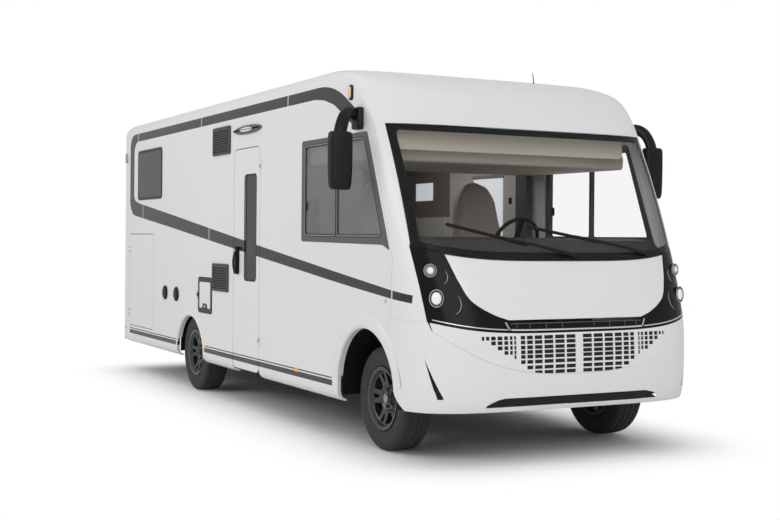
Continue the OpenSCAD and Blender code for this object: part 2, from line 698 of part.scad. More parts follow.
// grille: slot edges from the middle outwards, then plain columns; slot rows from below
slot_y = [0, 38, 112, 128, 202, 218, 288, 304, 362, 378, 420, 436, 462, 478, 492, 540, 560, 576, 626,
  642, 668, 680, 694, 704, 712, 770, 830, 890, 940, 985, 1018, 1038];
slot_z = [613, 647, 684, 718, 748, 779, 812, 843];
slot_h = 16;
slot_reach = [360, 715];
slot_last = 23;
grille_flare = 12;
n_slot = len(slot_y);
function slot_line(i, y) = i == 0 ? arc_low(y) : i == 17 ? strip_low(y) - seam_gap
  : max(slot_z[floor((i - 1) / 2)] + (i % 2 == 1 ? -1 : 1) * slot_h / 2, mix(arc_low(y), strip_low(y), i / 110));
function slot_edge(j, i) = let(k = j - n_slot + 1, y = slot_y[abs(k)], z0 = arc_low(y))
  sign(k) * (abs(k) < n_slot - 1 ? y : y + grille_flare * (slot_line(i, y) - z0) / (strip_low(y) - z0));
// cell of the grille that is open
function slot_open(i, j) = let(k = j >= n_slot - 1 ? j - n_slot + 1 : n_slot - 2 - j)
  i % 2 == 1 && i < 17 && k % 2 == 1 && k <= slot_last
  && slot_y[k + 1] <= mix(slot_reach[0], slot_reach[1], (i - 1) / 14);

module grille() {
  color([0.93, 0.93, 0.93]) shell([for (i = [0:17]) [for (j = [0:2 * n_slot - 2]) let(
    y = slot_edge(j, i), z = slot_line(i, y)) [ang_y(y, z), z]]], function(i, j) !slot_open(i, j));
}

module grille_screen() {
  color([0.04, 0.04, 0.04]) shell([for (i = [0:4]) [for (j = [0:16]) let(y = (j / 8 - 1) * 780,
    z = mix(arc_low(y) + 3, strip_low(y) - 4, i / 4)) [ang_y(y, z), z]]], function(i, j) true, mask_t + 4, -mask_t - 1);
}

// bumper: columns from the middle, rows of the blade slots in its corners, intake
bumper_cols = [0, 65, 130, 195, 260, 325, 390, 450, 510, 575, 640, 685, 730, 775, 820, 860, 900, 935, 965,
  992, 1015, 1030, 1042];
n_col = len(bumper_cols);
blade_out = [1010, 990, 972, 1004, 1032, 1055, 1071, 1070, 1062, 1056];
blade_in = [975, 955, 940, 976, 1012, 1043, 1067, 1060, 1050, 1042];
intake_z = [388, 449];
intake_end = [650, 705, 590, 640, 640, 640, 640, 640, 640, 640];
intake_col = 10;
function col_y(j, i) = let(k = abs(j - n_col + 1), c = bumper_cols[k], c0 = bumper_cols[intake_col],
  c1 = bumper_cols[n_col - 1]) sign(j - n_col + 1) * (k <= intake_col ? c * intake_end[i] / c0
  : mix(intake_end[i], blade_in[i], (c - c0) / (c1 - c0)));
function bumper_row(i, z1) = i == 0 ? bumper_z : i == 1 ? intake_z[0] : mix(intake_z[1], z1, (i - 2) / 7);
function bumper_cell(j, i) = let(y = col_y(j, i), z = bumper_row(i, arc_low(y) - seam_gap)) [ang_y(y, z), z];
function blade_cell(i) = let(z = bumper_row(i, wing_z - panel_gap)) [ang_y(blade_out[i], z), z];

module bumper() {
  n_side = 6;
  rows = [for (i = [0:9]) let(b = blade_cell(i), z = b[1], s = ang_x(seam(z), z))
    concat([for (j = [0:n_side]) [-mix(s, b[0], j / n_side), z]],
      [for (j = [0:2 * n_col - 2]) bumper_cell(j, i)],
      [for (j = [0:n_side]) [mix(b[0], s, j / n_side), z]])];
  mid = n_side + n_col;
  function blade(i, j) = i >= 2 && i <= 5 && (j == n_side || j == n_side + 2 * n_col - 1);
  function intake(i, j) = i == 1 && j >= mid - intake_col && j < mid + intake_col;
  color([0.93, 0.93, 0.93]) shell(rows, function(i, j) !blade(i, j) && !intake(i, j));
}

module lower_intake() {
  far = mask_t + nest_gap;
  color([0.06, 0.06, 0.06]) shell([for (i = [1, 2]) [for (k = [-intake_col:intake_col])
    bumper_cell(k + n_col - 1, i)]], function(i, j) true, far + 5, -far);
}

// wiper: tip and pivot, each as distance to the left and height
wiper_table = [[[-930, 1550], [90, 1372]], [[70, 1512], [720, 1392]]];
wiper_w = 18;
wiper_h = 16;
wiper_lift = 0.6;
wiper_steps = 40;

module wipers() {
  color([0.05, 0.05, 0.05]) for (w = wiper_table) shell([for (s = [-1, 1]) [for (k = [0:wiper_steps])
    let(c = mix(w[0], w[1], k / wiper_steps), z = c[1] + s * wiper_w / 2) [ang_y(c[0], z), z]]],
    function(i, j) true, -wiper_lift, wiper_h);
}

module engine_block() {
  color([0.3, 0.3, 0.3]) block([front_x + 135, -rail_y[0], 452], [front_x + 605, rail_y[0], lev(930)]);
}

wheel_z = tyre_r;

module front_axle() {
  color([0.15, 0.15, 0.15]) {
    block([front_x - 60, 60 - king_y, wheel_z - 35], [front_x + 60, king_y - 60, wheel_z + 35]);
    block([front_x - 34, -king_y, wheel_z - 35], [front_x + 34, king_y, wheel_z + 35]);
    both() translate([front_x, -king_y, wheel_z - 95]) cylinder(h = 190, r = king_r);
    both() translate([front_x, -king_y, wheel_z - 35]) cylinder(h = 70, r = 34);
    both() block([front_x - 60, -rail_y[1], wheel_z + 35], [front_x + 60, -rail_y[0], rail_z]);
  }
}

module knuckle() {
  difference() {
    union() {
      for (s = [-1, 1]) translate([front_x, -king_y, wheel_z + s * 65 - 25]) cylinder(h = 50, r = 36);
      block([front_x - 36, -king_y - 54, wheel_z - 90], [front_x + 36, -king_y, wheel_z + 90]);
      translate([front_x, -king_y - 50, wheel_z]) rotate([90, 0, 0]) cylinder(h = 70, r = spindle_r);
    }
    translate([front_x, -king_y, wheel_z - 100]) cylinder(h = 200, r = king_r + run_gap);
    block([front_x - 80, -king_y - 40, wheel_z - 40], [front_x + 80, 0, wheel_z + 40]);
  }
}

module knuckle_right() {
  color([0.25, 0.25, 0.25]) knuckle();
}

module knuckle_left() {
  color([0.25, 0.25, 0.25]) mirror([0, 1, 0]) knuckle();
}

module rear_axle() {
  color([0.15, 0.15, 0.15]) {
    translate([rear_x, 110 - track_r / 2, wheel_z]) rotate([-90, 0, 0]) cylinder(h = track_r - 220, r = 45);
    both() translate([rear_x, 112 - track_r / 2, wheel_z]) rotate([90, 0, 0]) cylinder(h = 184, r = spindle_r);
    both() block([rear_x - 60, -rail_y[1], wheel_z], [rear_x + 60, -rail_y[0], rail_z]);
  }
}

// fuel tank: length, underside, depth
tank = [840, 330, 130];

module fuel_tank() {
  color([0.1, 0.1, 0.1]) translate([mix(rail_x[0], rail_x[1], cross_table[3]) + cross_w, 0, tank[1]])
    block([0, -rail_y[0], 0], [tank[0], rail_y[0], tank[2]]);
}

// wheel windows: half angle, inner and outer radius, offset of the angle, softness of the corners
rim_windows = [[19, 106, 178, 0, 8], [6, 122, 176, 36, 3.5]];
nut_r = 10;
nut_ring = 65;

// wheel drawn on the right: the outer face points to -Y
module rim_shape() {
  rotate([90, 0, 0]) difference() {
    union() {
      rotate_extrude() polygon([[spindle_r + run_gap, 18], [spindle_r + run_gap, 62], [46, 62], [52, 46], [78, 46],
        [96, 58], [150, 66], [186, 80], [196, 100], [222, 106], [222, 92], [rim_r, 84], [rim_r, -84], [222, -92],
        [222, -100], [198, -100], [190, 36], [92, 30], [70, 18]]);
      for (k = [0:4]) rotate([0, 0, 72 * k + 36]) translate([nut_ring, 0, 40]) cylinder(h = 22, r = nut_r, $fn = 6);
    }
    for (w = rim_windows) for (k = [0:4]) rotate([0, 0, 72 * k + w[3]]) linear_extrude(160, center = true)
      polygon(soft([for (q = [[w[1], -w[0] * 0.62], [w[2], -w[0]], [w[2] + 5, 0], [w[2], w[0]], [w[1], w[0] * 0.62],
        [w[1] - 5, 0]]) q[0] * [cos(q[1]), sin(q[1])]], w[4]));
  }
}

module tyre_shape() {
  rotate([90, 0, 0]) rotate_extrude() polygon([[rim_r + nest_gap, -80], [rim_r + nest_gap, 80], [223, 92], [250, 106],
    [290, tyre_w / 2], [325, 110], [350, 98], [tyre_r, 78], [tyre_r, -78], [350, -98], [325, -110], [290, -tyre_w / 2],
    [250, -106], [223, -92]]);
}

module at_wheel(x, track, side) {
  translate([x, side * track / 2, wheel_z]) mirror([0, side > 0 ? 1 : 0, 0]) children();
}

module tyre_front_right() {
  color([0.05, 0.05, 0.05]) at_wheel(front_x, track_f, -1) tyre_shape();
}

module tyre_front_left() {
  color([0.05, 0.05, 0.05]) at_wheel(front_x, track_f, 1) tyre_shape();
}

module tyre_rear_right() {
  color([0.05, 0.05, 0.05]) at_wheel(rear_x, track_r, -1) tyre_shape();
}

module tyre_rear_left() {
  color([0.05, 0.05, 0.05]) at_wheel(rear_x, track_r, 1) tyre_shape();
}

module rim_front_right() {
  color([0.1, 0.1, 0.1]) at_wheel(front_x, track_f, -1) rim_shape();
}

module rim_front_left() {
  color([0.1, 0.1, 0.1]) at_wheel(front_x, track_f, 1) rim_shape();
}

module rim_rear_right() {
  color([0.1, 0.1, 0.1]) at_wheel(rear_x, track_r, -1) rim_shape();
}

module rim_rear_left() {
  color([0.1, 0.1, 0.1]) at_wheel(rear_x, track_r, 1) rim_shape();
}

// dashboard: rear face, side outline, and the shelf below the windscreen with its distance from the mask
dash_x = 2600;
dash_line = [[dash_x, 1090], [2700, 960], [2950, 960], [3100, 1290], [3060, 1400], [2960, 1480], [2720, 1500],
  [dash_x, 1460]];
shelf_z = [1300, 1324];
shelf_in = 22;

module dashboard() {
  color([0.15, 0.15, 0.16]) {
    across(wall_t - half_w, half_w - wall_t) polygon([for (q = dash_line) lev2(q)]);
    translate([0, 0, lev(shelf_z[0])]) linear_extrude(lev(shelf_z[1]) - lev(shelf_z[0]))
      polygon(concat([[3000, wall_t - half_w]], [for (k = [-10:10]) let(y = spread(k / 10) * 1085,
        p = msh(ang_y(y, shelf_z[1]), shelf_z[1], shelf_in)) [p[0], p[1]]], [[3000, half_w - wall_t]]));
  }
}

// steering wheel: middle, tilt, radius, rim radius; the column ends at the dashboard
helm = [2110, 430, 1474];
helm_tilt = 62;
helm_r = 195;
helm_rim = 15;
column_r = 28;
helm_column = (dash_x - nest_gap - helm[0] - column_r * cos(helm_tilt)) / sin(helm_tilt);

module steering_wheel() {
  color([0.08, 0.08, 0.08]) translate([helm[0], helm[1], lev(helm[2])]) rotate([0, -helm_tilt, 0]) {
    rotate_extrude() translate([helm_r, 0]) circle(helm_rim);
    translate([5 - helm_r, -20, -8]) cube([2 * helm_r - 10, 40, 16]);
    translate([0, 0, -helm_column]) cylinder(h = helm_column, r = column_r);
  }
}

// seat: rear end, distance from the middle, side outlines of cushion and back, front outline of the back
seat_at = [1570, 440];
cushion_side = [[0, 260], [520, 275], [535, 390], [15, 400]];
cushion_half = 250;
back_side = [[-30, 370], [95, 395], [-50, 1150], [-95, 1295], [-175, 1285], [-165, 1100]];
back_front = [[-225, 360], [225, 360], [205, 1080], [130, 1296], [-130, 1296], [-205, 1080]];
seat_base = [[80, -180], [420, 180], 280];

function tall(p) = [for (q = p) [q[0], q[1] * k_h]];

module seat() {
  translate([seat_at[0], -seat_at[1], floor_top]) {
    block(concat(seat_base[0], 0), concat(seat_base[1], seat_base[2] * k_h));
    across(-cushion_half, cushion_half) polygon(tall(soft(cushion_side, 40)));
    intersection() {
      across(-cushion_half, cushion_half) polygon(tall(soft(back_side, 36)));
      along(-cushion_half, cushion_half) polygon(tall(soft(back_front, 90)));
    }
  }
}

module seats() {
  color([0.75, 0.7, 0.6]) both() seat();
}

// drop-down bed: side outline
bed_line = [[1300, 2040], [2590, 2035], [2600, 2120], [2560, 2200], [1300, 2200]];

module front_bed() {
  color([0.85, 0.83, 0.76]) across(wall_t - half_w, half_w - wall_t) polygon([for (q = soft(bed_line, 25)) lev2(q)]);
}

// partition: place from the tail, far edge, and its opening
part_d = [3140, 3180];
part_y = 300;
part_hole = [[-450, 1500], [-150, 1850]];

module partition() {
  x = bays(part_d);
  color([0.5, 0.42, 0.36]) difference() {
    block([x[0], wall_t - half_w, floor_top], [x[1], part_y, wall_top]);
    block([x[0] - 1, part_hole[0][0], lev(part_hole[0][1])], [x[1] + 1, part_hole[1][0], lev(part_hole[1][1])]);
  }
}

// moves the body so that its middle lies over the origin
module placed() {
  translate([length / 2 - std_nose, 0, 0]) children();
}

placed() floor_pan();
placed() chassis_frame();
placed() wall_right();
placed() wall_left();
placed() wall_rear();
placed() roof();
placed() front_cap();
placed() windscreen();
placed() bonnet();
placed() headlamps();
placed() grille_strip();
placed() grille();
placed() grille_screen();
placed() bumper();
placed() lower_intake();
placed() skirts();
placed() rear_bumper();
placed() wheel_liners();
placed() entry_door();
placed() entry_door_window();
placed() garage_door_right();
placed() garage_door_left();
placed() service_hatch();
placed() cab_window_frames();
placed() cab_window_panes();
placed() rear_windows();
placed() vents();
placed() filler_caps();
placed() porch_lamp();
placed() marker_lamps();
placed() mirrors();
placed() wipers();
placed() roof_hatches();
placed() tail_lamps();
placed() engine_block();
placed() front_axle();
placed() knuckle_right();
placed() knuckle_left();
placed() rear_axle();
placed() fuel_tank();
placed() tyre_front_right();
placed() tyre_front_left();
placed() tyre_rear_right();
placed() tyre_rear_left();
placed() rim_front_right();
placed() rim_front_left();
placed() rim_rear_right();
placed() rim_rear_left();
placed() dashboard();
placed() steering_wheel();
placed() seats();
placed() front_bed();
placed() partition();
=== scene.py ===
import bmesh
import bpy
import math
import numpy as np
from mathutils import Matrix, Vector


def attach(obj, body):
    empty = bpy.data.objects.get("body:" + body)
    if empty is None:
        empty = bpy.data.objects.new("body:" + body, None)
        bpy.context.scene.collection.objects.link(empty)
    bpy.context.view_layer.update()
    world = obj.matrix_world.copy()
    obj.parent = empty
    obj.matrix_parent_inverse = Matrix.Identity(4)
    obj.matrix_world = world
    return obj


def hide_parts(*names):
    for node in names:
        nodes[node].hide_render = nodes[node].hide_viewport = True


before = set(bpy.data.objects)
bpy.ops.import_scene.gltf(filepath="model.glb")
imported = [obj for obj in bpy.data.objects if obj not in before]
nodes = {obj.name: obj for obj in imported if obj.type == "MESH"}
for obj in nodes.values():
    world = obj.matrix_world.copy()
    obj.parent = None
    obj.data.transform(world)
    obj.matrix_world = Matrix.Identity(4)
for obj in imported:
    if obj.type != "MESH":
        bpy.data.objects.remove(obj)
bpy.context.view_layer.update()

scene = bpy.context.scene
print("frame loaded:", len(nodes), "nodes")

# camera: fitted to the picture's own perspective, picture taken as 780 x 520
camera = dict(focal=1228.19, yaw=27.779, pitch=-0.079, roll=0.506, place=(10.268, -4.921, 1.484),
              middle=(397.62, 240.27), width=780, height=520, sensor=36.0)


def makeCamera(c):
    yaw, pitch, roll = (math.radians(c[k]) for k in ("yaw", "pitch", "roll"))
    look = Vector((-math.cos(yaw) * math.cos(pitch), math.sin(yaw) * math.cos(pitch), math.sin(pitch)))
    right = look.cross(Vector((0, 0, 1))).normalized()
    up = right.cross(look)
    r = math.cos(roll) * right + math.sin(roll) * up
    u = -math.sin(roll) * right + math.cos(roll) * up
    data = bpy.data.cameras.new("camera")
    obj = bpy.data.objects.new("camera", data)
    scene.collection.objects.link(obj)
    m = Matrix((r, u, -look)).transposed().to_4x4()
    m.translation = c["place"]
    obj.matrix_world = m
    data.sensor_width = c["sensor"]
    data.lens = c["focal"] * c["sensor"] / c["width"]
    data.shift_x = (c["width"] / 2 - c["middle"][0]) / c["width"]
    data.shift_y = (c["middle"][1] - c["height"] / 2) / c["width"]
    data.clip_end = 200
    scene.camera = obj


makeCamera(camera)
scene.view_settings.view_transform = "Standard"

# light: white surroundings, one broad lamp above, one before the nose, one on the near side
light = dict(world=0.6, top=55, front=150, side=195, cab=8)


def makeLight(c):
    w = bpy.data.worlds.new("studio")
    scene.world = w
    w.use_nodes = True
    nt = w.node_tree
    nt.nodes.clear()
    out = nt.nodes.new("ShaderNodeOutputWorld")
    soft = nt.nodes.new("ShaderNodeBackground")
    white = nt.nodes.new("ShaderNodeBackground")
    soft.inputs["Strength"].default_value = c["world"]
    soft.inputs["Color"].default_value = (1, 1, 1, 1)
    white.inputs["Color"].default_value = (1, 1, 1, 1)
    mix = nt.nodes.new("ShaderNodeMixShader")
    path = nt.nodes.new("ShaderNodeLightPath")
    seen = nt.nodes.new("ShaderNodeMath")
    seen.operation = "MAXIMUM"
    nt.links.new(path.outputs["Is Camera Ray"], seen.inputs[0])
    nt.links.new(path.outputs["Is Transmission Ray"], seen.inputs[1])
    nt.links.new(seen.outputs[0], mix.inputs["Fac"])
    nt.links.new(soft.outputs[0], mix.inputs[1])
    nt.links.new(white.outputs[0], mix.inputs[2])
    nt.links.new(mix.outputs[0], out.inputs["Surface"])
    for name, power, size, place, aim in (
            ("lampTop", c["top"], (9, 5), (0.5, -1.0, 7.5), (0, 0, 0)),
            ("lampFront", c["front"], (5, 4), (9.5, -2.0, 4.6), (2.5, 0, 1.0)),
            ("lampSide", c["side"], (8, 3), (-0.5, -9.0, 4.8), (-0.5, 0, 1.2)),
            ("lampCab", c["cab"], (1.4, 1.2), (0.5, 0, 2.55), (0.8, 0.3, 1.0))):
        data = bpy.data.lights.new(name, "AREA")
        data.shape = "RECTANGLE"
        data.size, data.size_y = size
        data.energy = power
        obj = bpy.data.objects.new(name, data)
        scene.collection.objects.link(obj)
        obj.location = place
        obj.visible_camera = False
        obj.rotation_mode = "QUATERNION"
        obj.rotation_quaternion = (Vector(aim) - Vector(place)).to_track_quat("-Z", "Y")


makeLight(light)


# quads over m by n points; wrap closes a direction, keep leaves cells open
def gridFaces(m, n, keep=None, wrapU=False, wrapV=False):
    i, j = np.meshgrid(np.arange(m if wrapU else m - 1), np.arange(n if wrapV else n - 1), indexing="ij")
    i2, j2 = (i + 1) % m, (j + 1) % n
    quads = np.stack([i * n + j, i * n + j2, i2 * n + j2, i2 * n + j], -1)
    return (quads[keep] if keep is not None else quads.reshape(-1, 4)).tolist()


# puts one or more (points, faces) sets into one mesh, joins doubles, shades it and hangs it on its body
def newPiece(name, parts, mat, body="body", replaces=(), closed=True, sharp=40):
    points, faces, base = [], [], 0
    for p, f in parts:
        p = np.asarray(p, float).reshape(-1, 3)
        points.append(p)
        faces += [[k + base for k in face] for face in f]
        base += len(p)
    me = bpy.data.meshes.new(name)
    me.from_pydata(np.concatenate(points).tolist(), [], faces)
    bm = bmesh.new()
    bm.from_mesh(me)
    bmesh.ops.remove_doubles(bm, verts=bm.verts, dist=2e-6)
    bmesh.ops.delete(bm, geom=[v for v in bm.verts if not v.link_faces], context="VERTS")
    if closed:
        bmesh.ops.recalc_face_normals(bm, faces=bm.faces)
    bm.to_mesh(me)
    bm.free()
    me.polygons.foreach_set("use_smooth", np.ones(len(me.polygons), bool))
    me.set_sharp_from_angle(angle=math.radians(sharp))
    me.materials.append(mat)
    obj = bpy.data.objects.new(name, me)
    scene.collection.objects.link(obj)
    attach(obj, body)
    if replaces:
        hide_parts(*replaces)
    return obj


def thicken(obj, depth, bevel=0.0, segments=2, angle=50):
    s = obj.modifiers.new("wall", "SOLIDIFY")
    s.thickness = depth
    s.offset = -1
    s.use_even_offset = True
    if bevel:
        soften(obj, bevel, segments, angle)
    return obj


def soften(obj, width, segments=2, angle=35):
    b = obj.modifiers.new("edge", "BEVEL")
    b.width = width
    b.segments = segments
    b.limit_method = "ANGLE"
    b.angle_limit = math.radians(angle)
    b.harden_normals = True


# the other side of a part: y turned over, faces turned round
def otherSide(part):
    p, f = part
    return np.asarray(p, float).reshape(-1, 3) * (1, -1, 1), [face[::-1] for face in f]


# flat closed solid on the right side: an outline in x and z, carried outwards over rings of (inset, height)
def plate(outline, rings, y=-1.15):
    o = np.asarray(outline, float)
    ahead, back = np.roll(o, -1, 0), np.roll(o, 1, 0)
    d = ahead - back
    d /= np.linalg.norm(d, axis=1)[:, None]
    inward = np.stack([-d[:, 1], d[:, 0]], 1)
    if np.sum(o[:, 0] * ahead[:, 1] - o[:, 1] * ahead[:, 0]) < 0:
        inward = -inward
    r = np.asarray(rings, float)
    xz = o[None] + inward[None] * r[:, 0, None, None]
    p = np.stack([xz[..., 0], np.broadcast_to(y - r[:, 1, None], xz.shape[:2]), xz[..., 1]], -1)
    m, n = p.shape[:2]
    faces = gridFaces(m, n, wrapV=True) + [list(range(n))[::-1], list(range((m - 1) * n, m * n))]
    return p, faces


# rounded rectangle, counter-clockwise
def roundRect(x0, x1, z0, z1, r, n=8):
    a = np.linspace(0, math.pi / 2, n + 1)
    c = np.stack([np.cos(a), np.sin(a)], 1) * r
    turn = np.array([[0, -1], [1, 0]])
    corners = [(x1 - r, z1 - r), (x0 + r, z1 - r), (x0 + r, z0 + r), (x1 - r, z0 + r)]
    return np.concatenate([c @ np.linalg.matrix_power(turn, k).T + q for k, q in enumerate(corners)])


# polygon with soft corners: each corner is a quadratic curve that starts d before it
def softPoly(points, d, n=8):
    p = np.asarray(points, float)
    a, b = np.roll(p, 1, 0) - p, np.roll(p, -1, 0) - p
    a = p + d * a / np.linalg.norm(a, axis=1)[:, None]
    b = p + d * b / np.linalg.norm(b, axis=1)[:, None]
    t = np.linspace(0, 1, n + 1)[None, :, None]
    return ((1 - t) ** 2 * a[:, None] + 2 * t * (1 - t) * p[:, None] + t ** 2 * b[:, None]).reshape(-1, 2)


# closed profile carried along a path: profile x runs across, profile y along the outward direction
def sweep(path, profile, outward, loop=False):
    p = np.asarray(path, float)
    if loop:
        t = np.roll(p, -1, 0) - np.roll(p, 1, 0)
    else:
        t = np.gradient(p, axis=0)
    t /= np.linalg.norm(t, axis=1)[:, None]
    w = np.broadcast_to(np.asarray(outward, float), p.shape)
    w = w - np.sum(w * t, 1)[:, None] * t
    w /= np.linalg.norm(w, axis=1)[:, None]
    s = np.cross(t, w)
    q = np.asarray(profile, float)
    if q.ndim == 2:
        q = np.broadcast_to(q, (len(p),) + q.shape)
    pts = p[:, None] + q[..., 0, None] * s[:, None] + q[..., 1, None] * w[:, None]
    m, n = pts.shape[:2]
    faces = gridFaces(m, n, wrapU=loop, wrapV=True)
    if not loop:
        faces += [list(range(n)), list(range((m - 1) * n, m * n))[::-1]]
    return pts, faces


def circle(rx, rz=None, n=16):
    a = np.linspace(0, 2 * math.pi, n, endpoint=False)
    return np.stack([rx * np.cos(a), (rx if rz is None else rz) * np.sin(a)], 1)


# profile of (distance along the axis, radius) turned round an axis through a point
def revolve(profile, middle, axis, n=48, bump=None, loop=False):
    q = np.asarray(profile, float)
    a = np.linspace(0, 2 * math.pi, n, endpoint=False)
    k = np.asarray(axis, float) / np.linalg.norm(axis)
    e = np.cross(k, (0, 0, 1.0) if abs(k[2]) < 0.9 else (1.0, 0, 0))
    e /= np.linalg.norm(e)
    f = np.cross(k, e)
    r = q[:, 1, None] + (0 if bump is None else bump(q[:, 0, None], q[:, 1, None], a[None]))
    ring = np.cos(a)[:, None] * e + np.sin(a)[:, None] * f
    p = np.asarray(middle) + q[:, 0, None, None] * k + r[..., None] * ring[None]
    m = len(q)
    faces = gridFaces(m, n, wrapU=loop, wrapV=True)
    if q[0, 1] > 1e-6 and not loop:
        faces.append(list(range(n))[::-1])
    if q[-1, 1] > 1e-6 and not loop:
        faces.append(list(range((m - 1) * n, m * n)))
    return p, faces


# smooth curve through a table of (place, value): cubic pieces, slopes from the two neighbours
def throughTable(table, at):
    t = np.asarray(table, float)
    n = len(t)
    lo, hi = np.maximum(np.arange(n) - 1, 0), np.minimum(np.arange(n) + 1, n - 1)
    slope = (t[hi, 1] - t[lo, 1]) / (t[hi, 0] - t[lo, 0])
    at = np.clip(at, t[0, 0], t[-1, 0])
    i = np.clip(np.searchsorted(t[:, 0], at, side="right") - 1, 0, n - 2)
    h = t[i + 1, 0] - t[i, 0]
    k = (at - t[i, 0]) / h
    return (t[i, 1] * (2 * k ** 3 - 3 * k ** 2 + 1) + t[i + 1, 1] * (3 * k ** 2 - 2 * k ** 3)
            + h * (slope[i] * (k ** 3 - 2 * k ** 2 + k) + slope[i + 1] * (k ** 3 - k ** 2)))


def alongTable(table, at):
    t = np.asarray(table, float)
    return np.interp(at, t[:, 0], t[:, 1])


# values between neighbours, n steps each, ends kept
def finer(values, n):
    v = np.asarray(values, float)
    k = np.arange((len(v) - 1) * n + 1) / n
    return np.interp(k, np.arange(len(v)), v)


# material tools
def newMaterial(name, base, rough=0.5, metal=0.0, **more):
    mat = bpy.data.materials.new(name)
    mat.use_nodes = True
    nt = mat.node_tree
    bsdf = nt.nodes["Principled BSDF"]
    bsdf.inputs["Base Color"].default_value = (*base, 1)
    bsdf.inputs["Roughness"].default_value = rough
    bsdf.inputs["Metallic"].default_value = metal
    for k, v in more.items():
        bsdf.inputs[k].default_value = v
    return mat, nt, bsdf


def mathNode(nt, op, a, b=None, c=None, clamp=False):
    n = nt.nodes.new("ShaderNodeMath")
    n.operation = op
    n.use_clamp = clamp
    for k, v in enumerate((a, b, c)):
        if v is None:
            continue
        if isinstance(v, (int, float)):
            n.inputs[k].default_value = v
        else:
            nt.links.new(v, n.inputs[k])
    return n.outputs[0]


def objectPoint(nt):
    t = nt.nodes.new("ShaderNodeTexCoord")
    s = nt.nodes.new("ShaderNodeSeparateXYZ")
    nt.links.new(t.outputs["Object"], s.inputs[0])
    return t.outputs["Object"], s.outputs


def above(nt, a, b, sharp=700.0):  # soft step, about 2 mm wide
    return mathNode(nt, "MULTIPLY_ADD", mathNode(nt, "SUBTRACT", a, b), sharp, 0.5, clamp=True)


def between(nt, v, lo, hi):
    return mathNode(nt, "MULTIPLY", above(nt, v, lo), above(nt, hi, v))


def mixColor(nt, mask, a, b):
    mix = nt.nodes.new("ShaderNodeMix")
    mix.data_type = "RGBA"
    nt.links.new(mask, mix.inputs["Factor"])
    for key, v in (("A", a), ("B", b)):
        if isinstance(v, tuple):
            mix.inputs[key].default_value = (*v, 1)
        else:
            nt.links.new(v, mix.inputs[key])
    return mix.outputs["Result"]


# group: fine surface unevenness; gives a tone that drifts a little and a height for a bump
def makeSurfaceGroup():
    g = bpy.data.node_groups.new("surfaceGrain", "ShaderNodeTree")
    for name in ("Scale", "Drift Scale"):
        g.interface.new_socket(name, in_out="INPUT", socket_type="NodeSocketFloat").default_value = 10
    g.interface.new_socket("Color", in_out="INPUT", socket_type="NodeSocketColor")
    g.interface.new_socket("Drift", in_out="INPUT", socket_type="NodeSocketFloat").default_value = 0.05
    g.interface.new_socket("Rough", in_out="INPUT", socket_type="NodeSocketFloat").default_value = 0.4
    for name, kind in (("Color", "NodeSocketColor"), ("Rough", "NodeSocketFloat"),
                       ("Height", "NodeSocketFloat")):
        g.interface.new_socket(name, in_out="OUTPUT", socket_type=kind)
    gi, go = g.nodes.new("NodeGroupInput"), g.nodes.new("NodeGroupOutput")
    co = g.nodes.new("ShaderNodeTexCoord")
    fine, wide = g.nodes.new("ShaderNodeTexNoise"), g.nodes.new("ShaderNodeTexNoise")
    fine.inputs["Detail"].default_value = 3
    wide.inputs["Detail"].default_value = 2
    for n, key in ((fine, "Scale"), (wide, "Drift Scale")):
        g.links.new(co.outputs["Object"], n.inputs["Vector"])
        g.links.new(gi.outputs[key], n.inputs["Scale"])
    swing = mathNode(g, "SUBTRACT", wide.outputs["Fac"], 0.5)
    gain = mathNode(g, "MULTIPLY", swing, gi.outputs["Drift"])
    tone = mathNode(g, "ADD", gain, 1.0)
    mul = g.nodes.new("ShaderNodeVectorMath")
    mul.operation = "SCALE"
    g.links.new(gi.outputs["Color"], mul.inputs[0])
    g.links.new(tone, mul.inputs["Scale"])
    g.links.new(mul.outputs[0], go.inputs["Color"])
    more = mathNode(g, "MULTIPLY", fine.outputs["Fac"], 0.12)
    less = mathNode(g, "ADD", more, -0.06)
    g.links.new(mathNode(g, "ADD", gi.outputs["Rough"], less), go.inputs["Rough"])
    g.links.new(fine.outputs["Fac"], go.inputs["Height"])
    return g


surfaceGroup = makeSurfaceGroup()


# puts the grain group before the shader: colour, roughness and a small bump
def addGrain(nt, bsdf, color, rough, scale=60, drift=0.05, driftScale=1.5, bump=0.0004, strength=0.15):
    g = nt.nodes.new("ShaderNodeGroup")
    g.node_tree = surfaceGroup
    g.inputs["Scale"].default_value = scale
    g.inputs["Drift Scale"].default_value = driftScale
    g.inputs["Drift"].default_value = drift
    g.inputs["Rough"].default_value = rough
    if isinstance(color, tuple):
        g.inputs["Color"].default_value = (*color, 1)
    else:
        nt.links.new(color, g.inputs["Color"])
    nt.links.new(g.outputs["Color"], bsdf.inputs["Base Color"])
    nt.links.new(g.outputs["Rough"], bsdf.inputs["Roughness"])
    b = nt.nodes.new("ShaderNodeBump")
    b.inputs["Strength"].default_value = strength
    b.inputs["Distance"].default_value = bump
    nt.links.new(g.outputs["Height"], b.inputs["Height"])
    nt.links.new(b.outputs[0], bsdf.inputs["Normal"])
    return g


def grainMaterial(name, base, rough, metal=0.0, scale=60, drift=0.06, bump=0.0005, strength=0.2, **more):
    mat, nt, bsdf = newMaterial(name, base, rough, metal, **more)
    addGrain(nt, bsdf, base, rough, scale=scale, drift=drift, bump=bump, strength=strength)
    return mat


